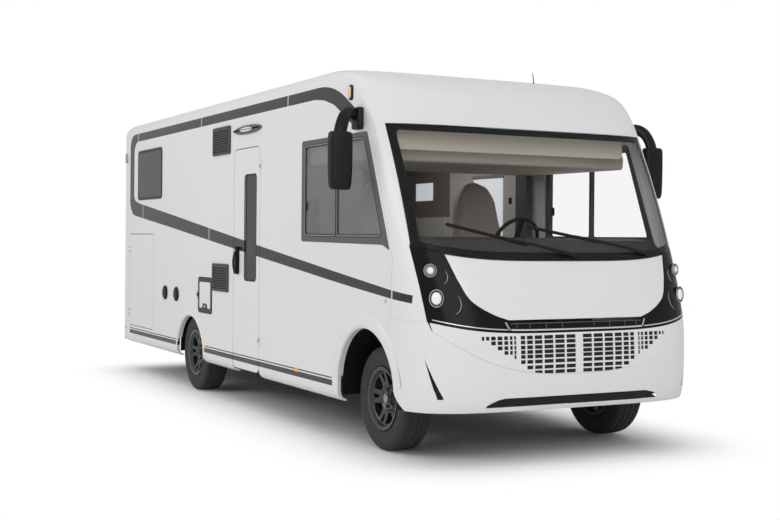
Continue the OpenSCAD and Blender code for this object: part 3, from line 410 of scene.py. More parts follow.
# side stripes: edges as height over length, in metres; both sides alike
stripe = dict(
    white=(0.78, 0.78, 0.785), color=(0.022, 0.023, 0.025), sideFrom=1.02, ends=(-3.345, 3.245), topEnd=2.44,
    topUpper=[(-3.345, 2.49), (-3.31, 2.56), (-3.26, 2.595), (-3.18, 2.612), (1.84, 2.612), (2.02, 2.593),
              (2.2, 2.54),
              (2.44, 2.41)],
    topLower=[(-3.345, 2.30), (-3.19, 2.40), (-3.16, 2.48), (-3.08, 2.525), (1.75, 2.527), (1.93, 2.505),
              (2.10, 2.455), (2.44, 2.27)],
    lowUpper=[(-3.345, 1.99), (-3.19, 1.945), (-3.16, 1.895), (-3.08, 1.862), (-2.95, 1.842), (-1.862, 1.713),
              (-0.5, 1.548),
              (0.685, 1.406), (2.254, 1.226), (3.177, 1.123), (3.245, 1.115)],
    lowLower=[(-3.345, 1.86), (-3.31, 1.79), (-3.24, 1.735), (-3.067, 1.704), (-1.858, 1.581), (-0.5, 1.437),
              (0.687, 1.313),
              (2.256, 1.154), (3.178, 1.069), (3.245, 1.062)],
    band=(-3.345, -3.185, 1.86, 2.48), joint=0.006, topJoints=(-3.034, -0.898, 1.219),
    lowJoints=(-2.834, -0.656, 3.03),
    skirtThin=(0.457, 0.467), skirtThick=(0.404, 0.446), skirtEnds=(-3.32, 2.10), straight=(-2.95, 1.7))


def coachPaint(name, withStripes):
    c = stripe
    mat, nt, bsdf = newMaterial(name, c["white"], 0.3,
                                **{"Coat Weight": 0.12, "Coat Roughness": 0.1, "Specular IOR Level": 0.3})
    if not withStripes:
        addGrain(nt, bsdf, c["white"], 0.3, scale=140, drift=0.02, bump=0.0002, strength=0.05)
        return mat
    _, p = objectPoint(nt)
    span = c["ends"][1] - c["ends"][0]
    u = mathNode(nt, "DIVIDE", mathNode(nt, "SUBTRACT", p["X"], c["ends"][0]), span, clamp=True)

    def edge(points):
        n = nt.nodes.new("ShaderNodeFloatCurve")
        cur = n.mapping.curves[0]
        x = np.unique(np.concatenate([np.asarray(points)[:, 0],
                                      np.linspace(points[0][0], points[-1][0], 34)]))
        inner = (x > c["straight"][0]) & (x < c["straight"][1])
        z = np.where(inner, np.interp(x, *np.transpose(points)), throughTable(points, x))
        for k, at in enumerate(zip((x - c["ends"][0]) / span, z / 3)):
            if k < 2:
                cur.points[k].location = at
            else:
                cur.points.new(*at)
        for q in cur.points:
            q.handle_type = "VECTOR"
        n.mapping.update()
        nt.links.new(u, n.inputs["Value"])
        return mathNode(nt, "MULTIPLY", n.outputs[0], 3)

    def unjoined(mask, places):  # thin light joints in the tape
        for x in places:
            gap = between(nt, p["X"], x - c["joint"], x + c["joint"])
            mask = mathNode(nt, "MULTIPLY", mask, mathNode(nt, "SUBTRACT", 1.0, gap))
        return mask

    side = above(nt, mathNode(nt, "ABSOLUTE", p["Y"]), c["sideFrom"])
    whole = between(nt, p["X"], c["ends"][0], c["ends"][1])
    top = mathNode(nt, "MULTIPLY", between(nt, p["Z"], edge(c["topLower"]), edge(c["topUpper"])),
                   between(nt, p["X"], c["ends"][0], c["topEnd"]))
    low = mathNode(nt, "MULTIPLY", between(nt, p["Z"], edge(c["lowLower"]), edge(c["lowUpper"])), whole)
    band = mathNode(nt, "MULTIPLY", between(nt, p["X"], c["band"][0], c["band"][1]),
                    between(nt, p["Z"], c["band"][2], c["band"][3]))
    thin = mathNode(nt, "MAXIMUM", between(nt, p["Z"], *c["skirtThin"]),
                    between(nt, p["Z"], *c["skirtThick"]))
    skirt = mathNode(nt, "MULTIPLY", thin, between(nt, p["X"], *c["skirtEnds"]))
    top, low = unjoined(top, c["topJoints"]), unjoined(low, c["lowJoints"])
    mask = mathNode(nt, "MAXIMUM", mathNode(nt, "MAXIMUM", top, low), mathNode(nt, "MAXIMUM", band, skirt))
    mask = mathNode(nt, "MULTIPLY", mask, side)
    addGrain(nt, bsdf, mixColor(nt, mask, c["white"], c["color"]), 0.3, scale=140, drift=0.02, bump=0.0002,
             strength=0.05)
    return mat


paint = coachPaint("coachPaintStriped", True)
paintPlain = coachPaint("coachPaintPlain", False)
blackGloss = grainMaterial("blackGlossPanel", (0.009, 0.009, 0.01), 0.18, drift=0.1,
                           **{"Specular IOR Level": 0.1})
blackPlastic = grainMaterial("blackGrainedPlastic", (0.009, 0.009, 0.01), 0.4, scale=900, bump=0.0006,
                             strength=0.3,
                             **{"Specular IOR Level": 0.2})
blackDeep = grainMaterial("blackDuct", (0.008, 0.008, 0.008), 0.8, scale=300, drift=0.2)
greyPlastic = grainMaterial("greyFramePlastic", (0.085, 0.088, 0.092), 0.45, scale=700, bump=0.0004,
                            strength=0.3)
underPaint = grainMaterial("underbodyBlack", (0.03, 0.03, 0.032), 0.6, scale=120, drift=0.3, bump=0.001,
                           strength=0.4)
floorSheet = grainMaterial("undersideSheet", (0.08, 0.08, 0.085), 0.7, scale=60, drift=0.3, bump=0.001,
                           strength=0.3)
castMetal = grainMaterial("castMetal", (0.2, 0.2, 0.205), 0.5, 0.8, scale=300, drift=0.25, bump=0.0008,
                          strength=0.5)
bareSteel = grainMaterial("bareSteel", (0.35, 0.35, 0.36), 0.35, 1.0, scale=200, drift=0.2)
rubber = grainMaterial("tyreRubber", (0.03, 0.03, 0.031), 0.75, scale=220, drift=0.25, bump=0.0006,
                       strength=0.35)
sealRubber = grainMaterial("sealRubber", (0.03, 0.03, 0.031), 0.7, scale=400, drift=0.15)
alloy = grainMaterial("satinBlackAlloy", (0.06, 0.06, 0.062), 0.28, 0.6, scale=400, drift=0.1,
                      **{"Coat Weight": 0.2})
chrome = grainMaterial("brightTrim", (0.78, 0.78, 0.79), 0.14, 1.0, scale=300, drift=0.03)
satinTrim = grainMaterial("satinTrim", (0.42, 0.42, 0.43), 0.4, 0.3, scale=300, drift=0.05)
amber = grainMaterial("amberLens", (0.95, 0.42, 0.03), 0.2, scale=300, drift=0.1, **{"Coat Weight": 0.6})
lampWhite = grainMaterial("clearLampCover", (0.72, 0.73, 0.74), 0.2, scale=200, drift=0.05,
                          **{"Coat Weight": 0.5})
creamPanel = grainMaterial("creamPanel", (0.66, 0.62, 0.56), 0.6, scale=300, drift=0.06)
lampGrey = grainMaterial("greyLampCover", (0.32, 0.32, 0.33), 0.2, scale=200, drift=0.05,
                         **{"Coat Weight": 0.5})
warmLens = grainMaterial("warmLampCover", (0.78, 0.6, 0.32), 0.15, scale=200, drift=0.1,
                         **{"Coat Weight": 0.6})
beige = grainMaterial("beigePanel", (0.60, 0.56, 0.47), 0.75, scale=900, drift=0.08, bump=0.0006,
                      strength=0.4)
dashSkin = grainMaterial("dashboardSkin", (0.05, 0.05, 0.052), 0.6, scale=700, bump=0.0006, strength=0.4)


# leather: fine creased grain from a cell pattern, soft shade drift
def leatherMaterial(name, base):
    mat, nt, bsdf = newMaterial(name, base, 0.5, **{"Sheen Weight": 0.15})
    co, _ = objectPoint(nt)
    cells = nt.nodes.new("ShaderNodeTexVoronoi")
    cells.inputs["Scale"].default_value = 420
    nt.links.new(co, cells.inputs["Vector"])
    g = addGrain(nt, bsdf, base, 0.5, scale=60, drift=0.16, driftScale=5)
    b = nt.nodes.new("ShaderNodeBump")
    b.inputs["Strength"].default_value = 0.35
    b.inputs["Distance"].default_value = 0.0006
    nt.links.new(mathNode(nt, "ADD", cells.outputs["Distance"], g.outputs["Height"]), b.inputs["Height"])
    nt.links.new(b.outputs[0], bsdf.inputs["Normal"])
    return mat


leather = leatherMaterial("beigeLeather", (0.36, 0.31, 0.265))


# board: long wood grain drawn out upright
def boardMaterial(name, base, dark):
    mat, nt, bsdf = newMaterial(name, base, 0.45)
    co, _ = objectPoint(nt)
    turn = nt.nodes.new("ShaderNodeMapping")
    turn.inputs["Scale"].default_value = (30, 30, 2.2)
    nt.links.new(co, turn.inputs["Vector"])
    wave = nt.nodes.new("ShaderNodeTexNoise")
    wave.inputs["Scale"].default_value = 1.4
    wave.inputs["Detail"].default_value = 5
    nt.links.new(turn.outputs[0], wave.inputs["Vector"])
    addGrain(nt, bsdf, mixColor(nt, wave.outputs["Fac"], base, dark), 0.45, scale=200, drift=0.05)
    return mat


brownBoard = boardMaterial("brownBoard", (0.30, 0.24, 0.19), (0.17, 0.13, 0.10))


# vent: grey rim and slats, with painted shade that turns the recess between the slats near black
def ventMaterial():
    mat, nt, bsdf = newMaterial("ventLouvre", (0.085, 0.088, 0.092), 0.5)
    _, p = objectPoint(nt)
    # painted shade: behind the slat faces the colour turns near black
    deep = above(nt, p["Y"], -1.1585, 900)
    addGrain(nt, bsdf, mixColor(nt, deep, (0.05, 0.051, 0.053), (0.004, 0.004, 0.004)), 0.6, scale=700)
    return mat


ventGrey = ventMaterial()


# tail lamp: amber over red over clear, by height
def tailLensMaterial():
    mat, nt, bsdf = newMaterial("tailLens", (0.4, 0.012, 0.012), 0.16, **{"Coat Weight": 0.7})
    _, p = objectPoint(nt)
    red = (0.42, 0.012, 0.012)
    color = mixColor(nt, above(nt, p["Z"], 1.0), red, (0.75, 0.25, 0.02))
    color = mixColor(nt, above(nt, mathNode(nt, "MULTIPLY", p["Z"], -1.0), -0.8), color, (0.7, 0.7, 0.7))
    addGrain(nt, bsdf, color, 0.16, scale=260, drift=0.1)
    return mat


tailLens = tailLensMaterial()


def glassMaterial(name, base, rough, alpha, shine=0.5):
    mat, nt, bsdf = newMaterial(name, base, rough, **{"IOR": 1.45, "Alpha": alpha, "Coat Weight": 0.5 * shine,
                                                      "Coat Roughness": 0.02, "Specular IOR Level": shine})
    addGrain(nt, bsdf, base, rough, scale=3, drift=0.1, bump=0.0002, strength=0.02)
    return mat


clearGlass = glassMaterial("clearGlass", (0.05, 0.06, 0.06), 0.04, 0.05)


# cab side panes: tinted on the right, clear on the left
def cabGlassMaterial(base, right, left):
    mat, nt, bsdf = newMaterial("sideGlass", base, 0.05, **{"IOR": 1.45})
    _, p = objectPoint(nt)
    nt.links.new(mathNode(nt, "MULTIPLY_ADD", above(nt, p["Y"], 0.0), left - right, right),
                 bsdf.inputs["Alpha"])
    return mat


cabGlass = cabGlassMaterial((0.28, 0.28, 0.282), 0.4, 0.0)


# service flap: black rim, body colour on the hinge lug behind it
def hatchMaterial():
    mat, nt, bsdf = newMaterial("hatchFrame", (0.02, 0.02, 0.021), 0.45)
    _, p = objectPoint(nt)
    behind = above(nt, mathNode(nt, "MULTIPLY", p["X"], -1.0), 0.9445)
    addGrain(nt, bsdf, mixColor(nt, behind, (0.02, 0.02, 0.021), stripe["white"]), 0.45, scale=700)
    return mat


hatchFrame = hatchMaterial()


# blind: pale cloth, with a painted glow that stands in for the daylight behind it
def blindMaterial():
    mat, nt, bsdf = newMaterial("blindClothPaintedGlow", (0.8, 0.82, 0.85), 0.8)
    addGrain(nt, bsdf, (0.8, 0.82, 0.85), 0.8, scale=500, drift=0.05)
    # painted light: the emission makes the cloth glow as if daylight shone through it
    bsdf.inputs["Emission Color"].default_value = (0.93, 0.96, 1, 1)
    bsdf.inputs["Emission Strength"].default_value = 0.45
    return mat


blindClothPaintedGlow = blindMaterial()
tintGlass = glassMaterial("tintedGlass", (0.03, 0.031, 0.032), 0.12, 0.95, 0.25)


# lamp lens: a bright glass that gives a little light of its own
def lensMaterial(name, tone, power):
    mat, nt, bsdf = newMaterial(name, (tone,) * 3, 0.08, **{"Coat Weight": 0.8})
    addGrain(nt, bsdf, (tone,) * 3, 0.08, scale=180, drift=0.1)
    bsdf.inputs["Emission Color"].default_value = (1, 1, 0.98, 1)
    bsdf.inputs["Emission Strength"].default_value = power
    return mat


lampLens = lensMaterial("lampLens", 0.6, 0.3)
lensDim = lensMaterial("lampLensDim", 0.35, 0.04)
print("materials made")


def dress(mat, *names):
    for n in names:
        o = nodes[n]
        o.data.materials.clear()
        o.data.materials.append(mat)


# softened edges on solid nodes: doubles joined, flat triangles joined, then a small bevel
def easeEdges(width, *names, segments=2, angle=38):
    for n in names:
        o = nodes[n]
        w = o.modifiers.new("join", "WELD")
        w.merge_threshold = 1e-5
        flat = o.modifiers.new("flat", "DECIMATE")
        flat.decimate_type = "DISSOLVE"
        flat.angle_limit = math.radians(0.5)
        soften(o, width, segments, angle)


dress(paint, "wall_right", "wall_left", "entry_door", "garage_door_right", "garage_door_left", "skirts")
dress(paintPlain, "wall_rear", "rear_bumper")
dress(blackPlastic, "lower_intake", "wheel_liners", "steering_wheel", "fuel_tank")
dress(blackDeep, "grille_screen")
dress(hatchFrame, "service_hatch")
dress(ventGrey, "vents")
dress(beige, "front_bed")
dress(greyPlastic, "cab_window_frames")
dress(underPaint, "chassis_frame", "front_axle", "rear_axle")
dress(floorSheet, "floor_pan")
dress(castMetal, "engine_block")
dress(bareSteel, "knuckle_right", "knuckle_left")
dress(cabGlass, "cab_window_panes")
dress(tintGlass, "entry_door_window", "rear_windows")
dress(lampWhite, "roof_hatches")
dress(tailLens, "tail_lamps")
dress(brownBoard, "partition")
dress(dashSkin, "dashboard")
for w in ("front_right", "front_left", "rear_right", "rear_left"):
    dress(alloy, "rim_" + w)
easeEdges(0.003, "entry_door", "garage_door_right", "garage_door_left", "service_hatch", "rear_bumper")
easeEdges(0.003, "cab_window_frames", "vents", "roof_hatches", "tail_lamps", "rear_windows")
easeEdges(0.012, "dashboard", "front_bed", segments=3)
easeEdges(0.002, "rim_front_right", "rim_front_left", "rim_rear_right", "rim_rear_left", angle=30)
print("frame dressed")

# front mask: centre line, start of the rounded plan, rear seam, lamp and bonnet edges, as (height, place)
mask = dict(
    line=[(.33, 3.478), (.365, 3.515), (.42, 3.54), (.52, 3.556), (.62, 3.56), (.74, 3.558), (.86, 3.55),
          (.94, 3.535),
          (1.05, 3.5), (1.18, 3.452), (1.29, 3.405), (1.36, 3.374), (1.44, 3.338), (1.64, 3.243),
          (1.857, 3.134),
          (2.066, 3.018), (2.275, 2.893), (2.34, 2.86), (2.43, 2.8), (2.52, 2.72), (2.6, 2.6), (2.66, 2.45),
          (2.712, 2.25), (2.738, 1.98), (2.745, 1.85)],
    start=[(.33, 2.8), (1.4, 2.8), (2.275, 2.56), (2.5, 2.42), (2.6, 2.3), (2.66, 2.15), (2.712, 1.95),
           (2.738, 1.78),
           (2.745, 1.712)],
    seam=[(.77, 2.9), (.8, 2.906), (.951, 3.01), (1.1, 3.028), (1.35, 3.03), (2.24, 2.694), (2.58, 1.7),
          (2.738, 1.7),
          (2.745, 1.712)],
    lamp=[(.9, 1.058), (.951, 1.062), (1.438, 1.095), (1.5, 1.09)],
    bonnet=[(.94, .53), (.955, .54), (.965, .572), (.985, .635), (1.026, .717), (1.05, .754), (1.071, .782),
            (1.092, .803),
            (1.129, .826), (1.225, .865), (1.393, .916), (1.44, .93)],
    power=4.3, half=1.15, roofRound=.165, wallTop=2.58, top=2.745, capStart=1.7, wall=.006, edge=.0022,
    seamGap=.0009,
    arch=(2.625, .43, .437), foot=.12, screenTop=2.275, screenHalf=1.09, wing=.951, bonnetLow=.958,
    bonnetGap=.009, moveGap=.007)


def halfWidth(z):
    h = np.maximum(0, z - mask["wallTop"])
    r = mask["roofRound"]
    return mask["half"] - r + np.sqrt(np.maximum(0, r * r - h * h))


# plan outline at a height: superellipse of the given power, straight along the sides behind its start
def maskPoint(t, z):
    t, z = np.broadcast_arrays(np.asarray(t, float), np.asarray(z, float))
    x0 = throughTable(mask["start"], z)
    depth = throughTable(mask["line"], z) - x0
    w = halfWidth(z)
    n = mask["power"]
    r = ((np.abs(np.cos(t)) / depth) ** n + (np.abs(np.sin(t)) / w) ** n) ** (-1 / n)
    side = np.abs(t) > math.pi / 2
    safe = np.where(side, np.abs(t), 1.0)
    x = np.where(side, x0 + w / np.tan(safe), x0 + r * np.cos(t))
    y = np.where(side, np.sign(t) * w, r * np.sin(t))
    return np.stack([x, y, z], -1)


def planAngle(y, z):  # of a distance from the middle
    x0 = throughTable(mask["start"], z)
    depth = throughTable(mask["line"], z) - x0
    n = mask["power"]
    return np.arctan2(y, depth * np.maximum(0, 1 - (np.abs(y) / halfWidth(z)) ** n) ** (1 / n))


def sideAngle(x, z):  # of a place along the side
    x0 = throughTable(mask["start"], z)
    depth = throughTable(mask["line"], z) - x0
    n = mask["power"]
    u = np.maximum(0, (x - x0) / depth)
    return np.arctan2(halfWidth(z) * np.maximum(0, 1 - u ** n) ** (1 / n), x - x0)


def maskNormal(t, z):
    e, h = 0.001, 0.001
    a = maskPoint(t + e, z) - maskPoint(t - e, z)
    b = maskPoint(t, np.minimum(mask["top"], z + h)) - maskPoint(t, z - h)
    c = np.cross(a, b)
    return c / np.linalg.norm(c, axis=-1)[..., None]


# point on the mask by distance from the middle and height, lifted along the normal
def onMask(y, z, lift=0.0):
    y, z = np.broadcast_arrays(np.asarray(y, float), np.asarray(z, float))
    t = planAngle(y, z)
    return maskPoint(t, z) + np.asarray(lift)[..., None] * maskNormal(t, z)


def seamPlace(z):
    x0, z0, r = mask["arch"]
    h = np.maximum(0, z - z0)
    x = alongTable(mask["seam"], z)
    sweepOn = mask["foot"] * np.maximum(0, (.47 - z) / .11) ** 1.5  # lower corner runs forward
    return np.where(h >= r, x, np.maximum(x, x0 + np.sqrt(np.maximum(0, r * r - h * h)))) + sweepOn


def stripLow(y):
    return .87 + .08 * np.minimum(1, np.abs(y) / 1.062) ** 4


def stripTop(y):
    return np.where(np.abs(y) < .48, .939, .9506)


def arcLow(y):
    return .595 + .36 * (np.abs(y) / 1.12) ** 2.8


def screenLow(y):
    return 1.349 + .089 * (np.abs(y) / 1.095) ** 4


# moulded panel: a grid of points on the mask, faced outwards, with a wall behind and eased rims
def panelPiece(name, p, mat, replaces=(), keep=None, body="body", wall=None, edge=None):
    m, n = p.shape[:2]
    faces = gridFaces(m, n, keep)
    q = p.reshape(-1, 3)
    f = np.array(faces)
    c = np.cross(q[f[:, 2]] - q[f[:, 0]], q[f[:, 3]] - q[f[:, 1]])
    mid = q[f].mean(1) - (2.2, 0, 1.2)
    if np.sum(c * mid) < 0:
        faces = [face[::-1] for face in faces]
    obj = newPiece(name, [(p, faces)], mat, body, replaces, closed=False)
    return thicken(obj, mask["wall"] if wall is None else wall, mask["edge"] if edge is None else edge)


# front cap: pillars on both sides of the screen and lamps, closed above by the brow that runs into the roof
capForm = dict(rows=[.951, .967, 1.01, 1.071, 1.1, 1.15, 1.24, 1.33, 1.35, 1.4, 1.437, 1.64, 1.857, 2.066,
                     2.24, 2.275,
                     2.339, 2.431, 2.519, 2.58, 2.6295, 2.67075, 2.70045, 2.7219, 2.7384, 2.745], side=10,
                     mid=110)


def makeFrontCap(c):
    rows = np.asarray(c["rows"])
    step = np.maximum(1, np.ceil(np.diff(rows) / .022)).astype(int)
    z = np.concatenate([np.linspace(a, b, k, endpoint=False) for a, b,
                        k in zip(rows[:-1], rows[1:], step)] + [rows[-1:]])
    inner = planAngle(np.where(z < 1.438, alongTable(mask["lamp"], z), mask["screenHalf"]), z)
    outer = sideAngle(seamPlace(z), z)
    k = np.linspace(0, 1, c["side"], endpoint=False)
    q = np.sin(np.linspace(-1, 1, c["mid"] + 1) * math.pi / 2)
    left = -(outer[:, None] + (inner - outer)[:, None] * k)
    mid = inner[:, None] * q
    t = np.concatenate([left, mid, -left[:, ::-1]], 1)
    p = maskPoint(t, np.broadcast_to(z[:, None], t.shape))
    last = p[-1:].copy()
    last[..., 0] = mask["capStart"]
    p = np.concatenate([p, last])
    m, n = p.shape[:2]
    j = np.arange(n - 1)
    keep = np.ones((m - 1, n - 1), bool)
    overScreen = np.append(z, 3)[:-1] >= mask["screenTop"] - 1e-9
    keep[:, (j >= c["side"]) & (j < c["side"] + c["mid"])] = overScreen[:, None]
    panelPiece("frontCap", p, paint, ("front_cap",), keep)


makeFrontCap(capForm)

# windscreen: one clear sheet, with a black border a little behind its face
screenForm = dict(rows=44, cols=84, side=.052, top=.045, low=.050, behind=.0075)


def makeScreen(c):
    f = np.linspace(0, 1, c["rows"])[:, None]
    y = np.sin(np.linspace(-1, 1, c["cols"]) * math.pi / 2)[None] * (mask["screenHalf"] - mask["seamGap"])
    low = screenLow(y) + mask["seamGap"]
    z = low + (mask["screenTop"] - .0004 - low) * f
    panelPiece("windscreenGlass", onMask(y, z), clearGlass, ("windscreen",), edge=.001)
    w = mask["screenHalf"] - mask["seamGap"]
    ys = np.concatenate([np.linspace(-w, -w + c["side"], 6),
                         np.linspace(-w + c["side"], w - c["side"], 60)[1:-1],
                         np.linspace(w - c["side"], w, 6)])[None]
    a, b = c["low"] / .92, 1 - c["top"] / .92
    fs = np.concatenate([np.linspace(0, a, 5), np.linspace(a, b, 40)[1:-1], np.linspace(b, 1, 5)])[:, None]
    low = screenLow(ys) + .002
    z = low + (mask["screenTop"] - .002 - low) * fs
    keep = np.zeros((fs.size - 1, ys.size - 1), bool)
    keep[:4] = keep[-4:] = True
    keep[:, :5] = keep[:, -5:] = True
    panelPiece("screenBorder", onMask(ys, z, -c["behind"]), blackGloss, keep=keep, wall=.002, edge=0)


makeScreen(screenForm)

# bonnet: the panel between the lamps, narrower below
bonnetForm = dict(rows=40, cols=70)


def makeBonnet(c):
    q = np.linspace(-1, 1, c["cols"])[None]
    zTop = screenLow(q * .918) - mask["bonnetGap"]
    f = np.unique(np.concatenate([np.linspace(0, 1, c["rows"]), [.025, .27]]))[:, None]
    z = mask["bonnetLow"] + (zTop - mask["bonnetLow"]) * f
    y = q * (alongTable(mask["bonnet"], z) - mask["moveGap"])
    panelPiece("bonnetPanel", onMask(y, z), paintPlain, ("bonnet",), body="bonnet", edge=.003)


makeBonnet(bonnetForm)

# lamp panels: gloss black between bonnet and pillar
lampForm = dict(rows=[.951, .967, 1.01, 1.071, 1.1, 1.15, 1.24, 1.33, 1.35, 1.4, 1.437], cols=16)


def makeLampPanels(c):
    zg = finer(c["rows"], 4)[:, None]
    yi, yo = alongTable(mask["bonnet"], zg), alongTable(mask["lamp"], zg) - mask["seamGap"]
    y = yo + (yi - yo) * np.linspace(0, 1, c["cols"])[None]
    z = np.minimum(zg, screenLow(y) - .0004)
    right = onMask(-y, z)
    m, n = right.shape[:2]
    a = (right, gridFaces(m, n))
    b = otherSide(a)
    obj = newPiece("lampPanels", [a, b], blackGloss, "body", ("headlamps",), closed=False)
    flipIfInward(obj)
    thicken(obj, mask["wall"], .0015)


def flipIfInward(obj):
    me = obj.data
    n = len(me.polygons)
    c, d = np.empty(n * 3), np.empty(n * 3)
    me.polygons.foreach_get("center", c)
    me.polygons.foreach_get("normal", d)
    if np.sum((c.reshape(-1, 3) - (2.2, 0, 1.2)) * d.reshape(-1, 3)) < 0:
        me.flip_normals()


makeLampPanels(lampForm)

# black strip between bonnet and grille
def makeStrip():
    y = np.sin(np.linspace(-1, 1, 121) * math.pi / 2)[None] * 1.052
    f = np.linspace(0, 1, 5)[:, None]
    z = stripLow(y) + (stripTop(y) - stripLow(y)) * f
    panelPiece("stripPanel", onMask(y, z), blackGloss, ("grille_strip",), edge=.001)


makeStrip()

# grille: slot edges from the middle outwards, rows from below; open cells stop along a slanted line
grilleForm = dict(
    edges=[0, .03, .105, .119, .196, .21, .283, .297, .358, .371, .418, .43, .466, .5, .516, .527, .548, .56,
           .59, .602,
           .638, .65, .684, .696, .719, .73, .748, .79, .85, .9, .945, .985, 1.018, 1.038],
    rows=[.613, .647, .684, .718, .748, .779, .812, .843], high=.0245, reach=(.372, .76), last=25, flare=.012,
    fine=3)


def makeGrille(c):
    e = np.asarray(c["edges"])
    n = len(e)
    k = np.arange(-(n - 1), n)
    y0 = e[np.abs(k)][None]
    low, high = arcLow(y0), stripLow(y0)
    i = np.arange(18)[:, None]
    slot = np.asarray(c["rows"])[np.clip((i - 1) // 2, 0, 7)] + np.where(i % 2 == 1, -1, 1) * c["high"] / 2
    z = np.maximum(slot, low + (high - low) * i / 110)
    z = np.where(i == 0, low, np.where(i == 17, high - mask["seamGap"], z))
    y = y0 + np.where(np.abs(k) == n - 1, c["flare"] * (z - low) / (high - low), 0)
    y = y * np.sign(k)
    cell = np.arange(2 * n - 2)
    s = np.where(cell >= n - 1, cell - n + 1, n - 2 - cell)[None]
    r = np.arange(17)[:, None]
    near, far = c["reach"]
    inReach = e[np.clip(s + 1, 0, n - 1)] <= near + (far - near) * (r - 1) / 14
    opened = (r % 2 == 1) & (s % 2 == 1) & (s <= c["last"]) & inReach
    f = c["fine"]
    y, z = refine(y, f), refine(z, f)
    panelPiece("grillePanel", onMask(y, z), paintPlain, ("grille",), ~np.kron(opened, np.ones((f, f), bool)),
               edge=.0012)


# each grid cell cut into n by n, by straight interpolation
def refine(a, n):
    m, k = a.shape
    u, v = np.arange((m - 1) * n + 1) / n, np.arange((k - 1) * n + 1) / n
    i, j = np.minimum(u.astype(int), m - 2), np.minimum(v.astype(int), k - 2)
    fu, fv = (u - i)[:, None], (v - j)[None]
    return ((a[i][:, j] * (1 - fu) + a[i + 1][:, j] * fu) * (1 - fv)
            + (a[i][:, j + 1] * (1 - fu) + a[i + 1][:, j + 1] * fu) * fv)


makeGrille(grilleForm)

# bumper: columns from the middle, blade slots in the corners, intake below
bumperForm = dict(
    cols=[0, .065, .13, .195, .26, .325, .39, .45, .51, .575, .64, .685, .73, .775, .82, .86, .9, .935, .965,
          .992, 1.015,
          1.03, 1.042],
    bladeOut=[1.035, 1.02, 1.012, 1.035, 1.053, 1.068, 1.081, 1.08, 1.07, 1.06],
    bladeIn=[.995, .985, .978, 1.005, 1.032, 1.056, 1.0765, 1.07, 1.055, 1.042],
    intakeEnd=[.65, .705, .575, .64, .64, .64, .64, .64, .64, .64], intake=(.388, .449), intakeCol=10,
    foot=.356, side=6,
    fine=4)


def makeBumper(c):
    cols = np.asarray(c["cols"])
    n, f = len(cols), c["fine"]
    i = finer(np.arange(10), f)
    rowAt = np.arange(10)
    out = throughTable(np.stack([rowAt, c["bladeOut"]], 1), i)
    inn = throughTable(np.stack([rowAt, c["bladeIn"]], 1), i)
    end = np.interp(i, rowAt, c["intakeEnd"])
    rise = np.clip(i - 1, 0, 1)
    wide, narrow = c["intakeEnd"][1:3]
    end = np.where((i > 1) & (i < 2), narrow + (wide - narrow) * (1 - rise ** 1.8) ** .6, end)  # rounded tips
    k = finer(np.arange(-(n - 1), n), f)
    a = np.interp(np.abs(k), np.arange(n), cols)
    c0, c1 = cols[c["intakeCol"]], cols[-1]
    y = np.where(a[None] <= c0, a[None] * end[:, None] / c0,
                 end[:, None] + (inn - end)[:, None] * (a[None] - c0) / (c1 - c0)) * np.sign(k)

    def rowHeight(zTop):
        z = c["intake"][1] + (zTop - c["intake"][1]) * (i[:, None] - 2) / 7
        low = np.interp(i, [0, 1, 2], [c["foot"], c["intake"][0], c["intake"][1]])[:, None]
        return np.where(i[:, None] <= 2, low, z)

    z = rowHeight(arcLow(y) - mask["seamGap"])
    mid = maskPoint(planAngle(y, z), z)
    zb = rowHeight(np.full((1, 1), mask["wing"] - .0004))
    tb = planAngle(out[:, None], zb)
    ts = sideAngle(seamPlace(zb), zb)
    w = np.linspace(0, 1, c["side"] * f + 1)[None]
    wing = maskPoint(-(ts + (tb - ts) * w), np.broadcast_to(zb, (len(i), w.size)))
    p = np.concatenate([wing, mid, (wing * (1, -1, 1))[:, ::-1]], 1)
    m, total = p.shape[:2]
    fineRow = np.arange(m - 1)[:, None]
    r = fineRow // f
    j = np.arange(total - 1)[None]
    gap = (j == w.size - 1) | (j == w.size - 1 + k.size)
    blade = gap & (r >= 2) & (fineRow < 6 * f - 1)
    first = w.size + (n - 1 - c["intakeCol"]) * f
    intake = (r == 1) & (j >= first) & (j < first + 2 * c["intakeCol"] * f)
    panelPiece("bumperPanel", p, paintPlain, ("bumper",), ~(blade | intake), edge=.0025)
    yd = np.linspace(.90, 1.095, 14)[None]
    zd = np.linspace(.40, .76, 14)[:, None]
    d = onMask(yd, np.broadcast_to(zd, (14, 14)), -.014)
    part = (d * (1, -1, 1), gridFaces(14, 14))
    obj = newPiece("bladeDucts", [part, otherSide(part)], blackDeep, closed=False)
    flipIfInward(obj)
    thicken(obj, .002)


makeBumper(bumperForm)
print("front mask made")

# roof skin: the body's cross-section carried from tail to front cap, closed ends
roofForm = dict(x=(-3.52, 1.6996), wall=.045, round=.165, half=1.15, top=2.745, arc=24)


def makeRoof(c):
    a = np.linspace(0, math.pi / 2, c["arc"] + 1)

    def line(d):
        y = c["half"] - c["round"] + (c["round"] - d) * np.cos(a)
        z = c["top"] - c["round"] + (c["round"] - d) * np.sin(a)
        return np.concatenate([np.stack([y, z], 1), np.stack([-y, z], 1)[::-1]])

    ring = np.concatenate([line(0), line(c["wall"])[::-1]])
    x = np.linspace(*c["x"], 12)
    p = np.concatenate([np.broadcast_to(x[:, None, None], (12, len(ring), 1)),
                        np.broadcast_to(ring, (12,) + ring.shape)], 2)
    n = len(ring)
    h = n // 2
    ends = [[k, k + 1, n - 2 - k, n - 1 - k] for k in range(h - 1)]
    faces = gridFaces(12, n, wrapV=True) + ends + [[v + 11 * n for v in q[::-1]] for q in ends]
    newPiece("roofSkin", [(p, faces)], paint, "body", ("roof",))


makeRoof(roofForm)
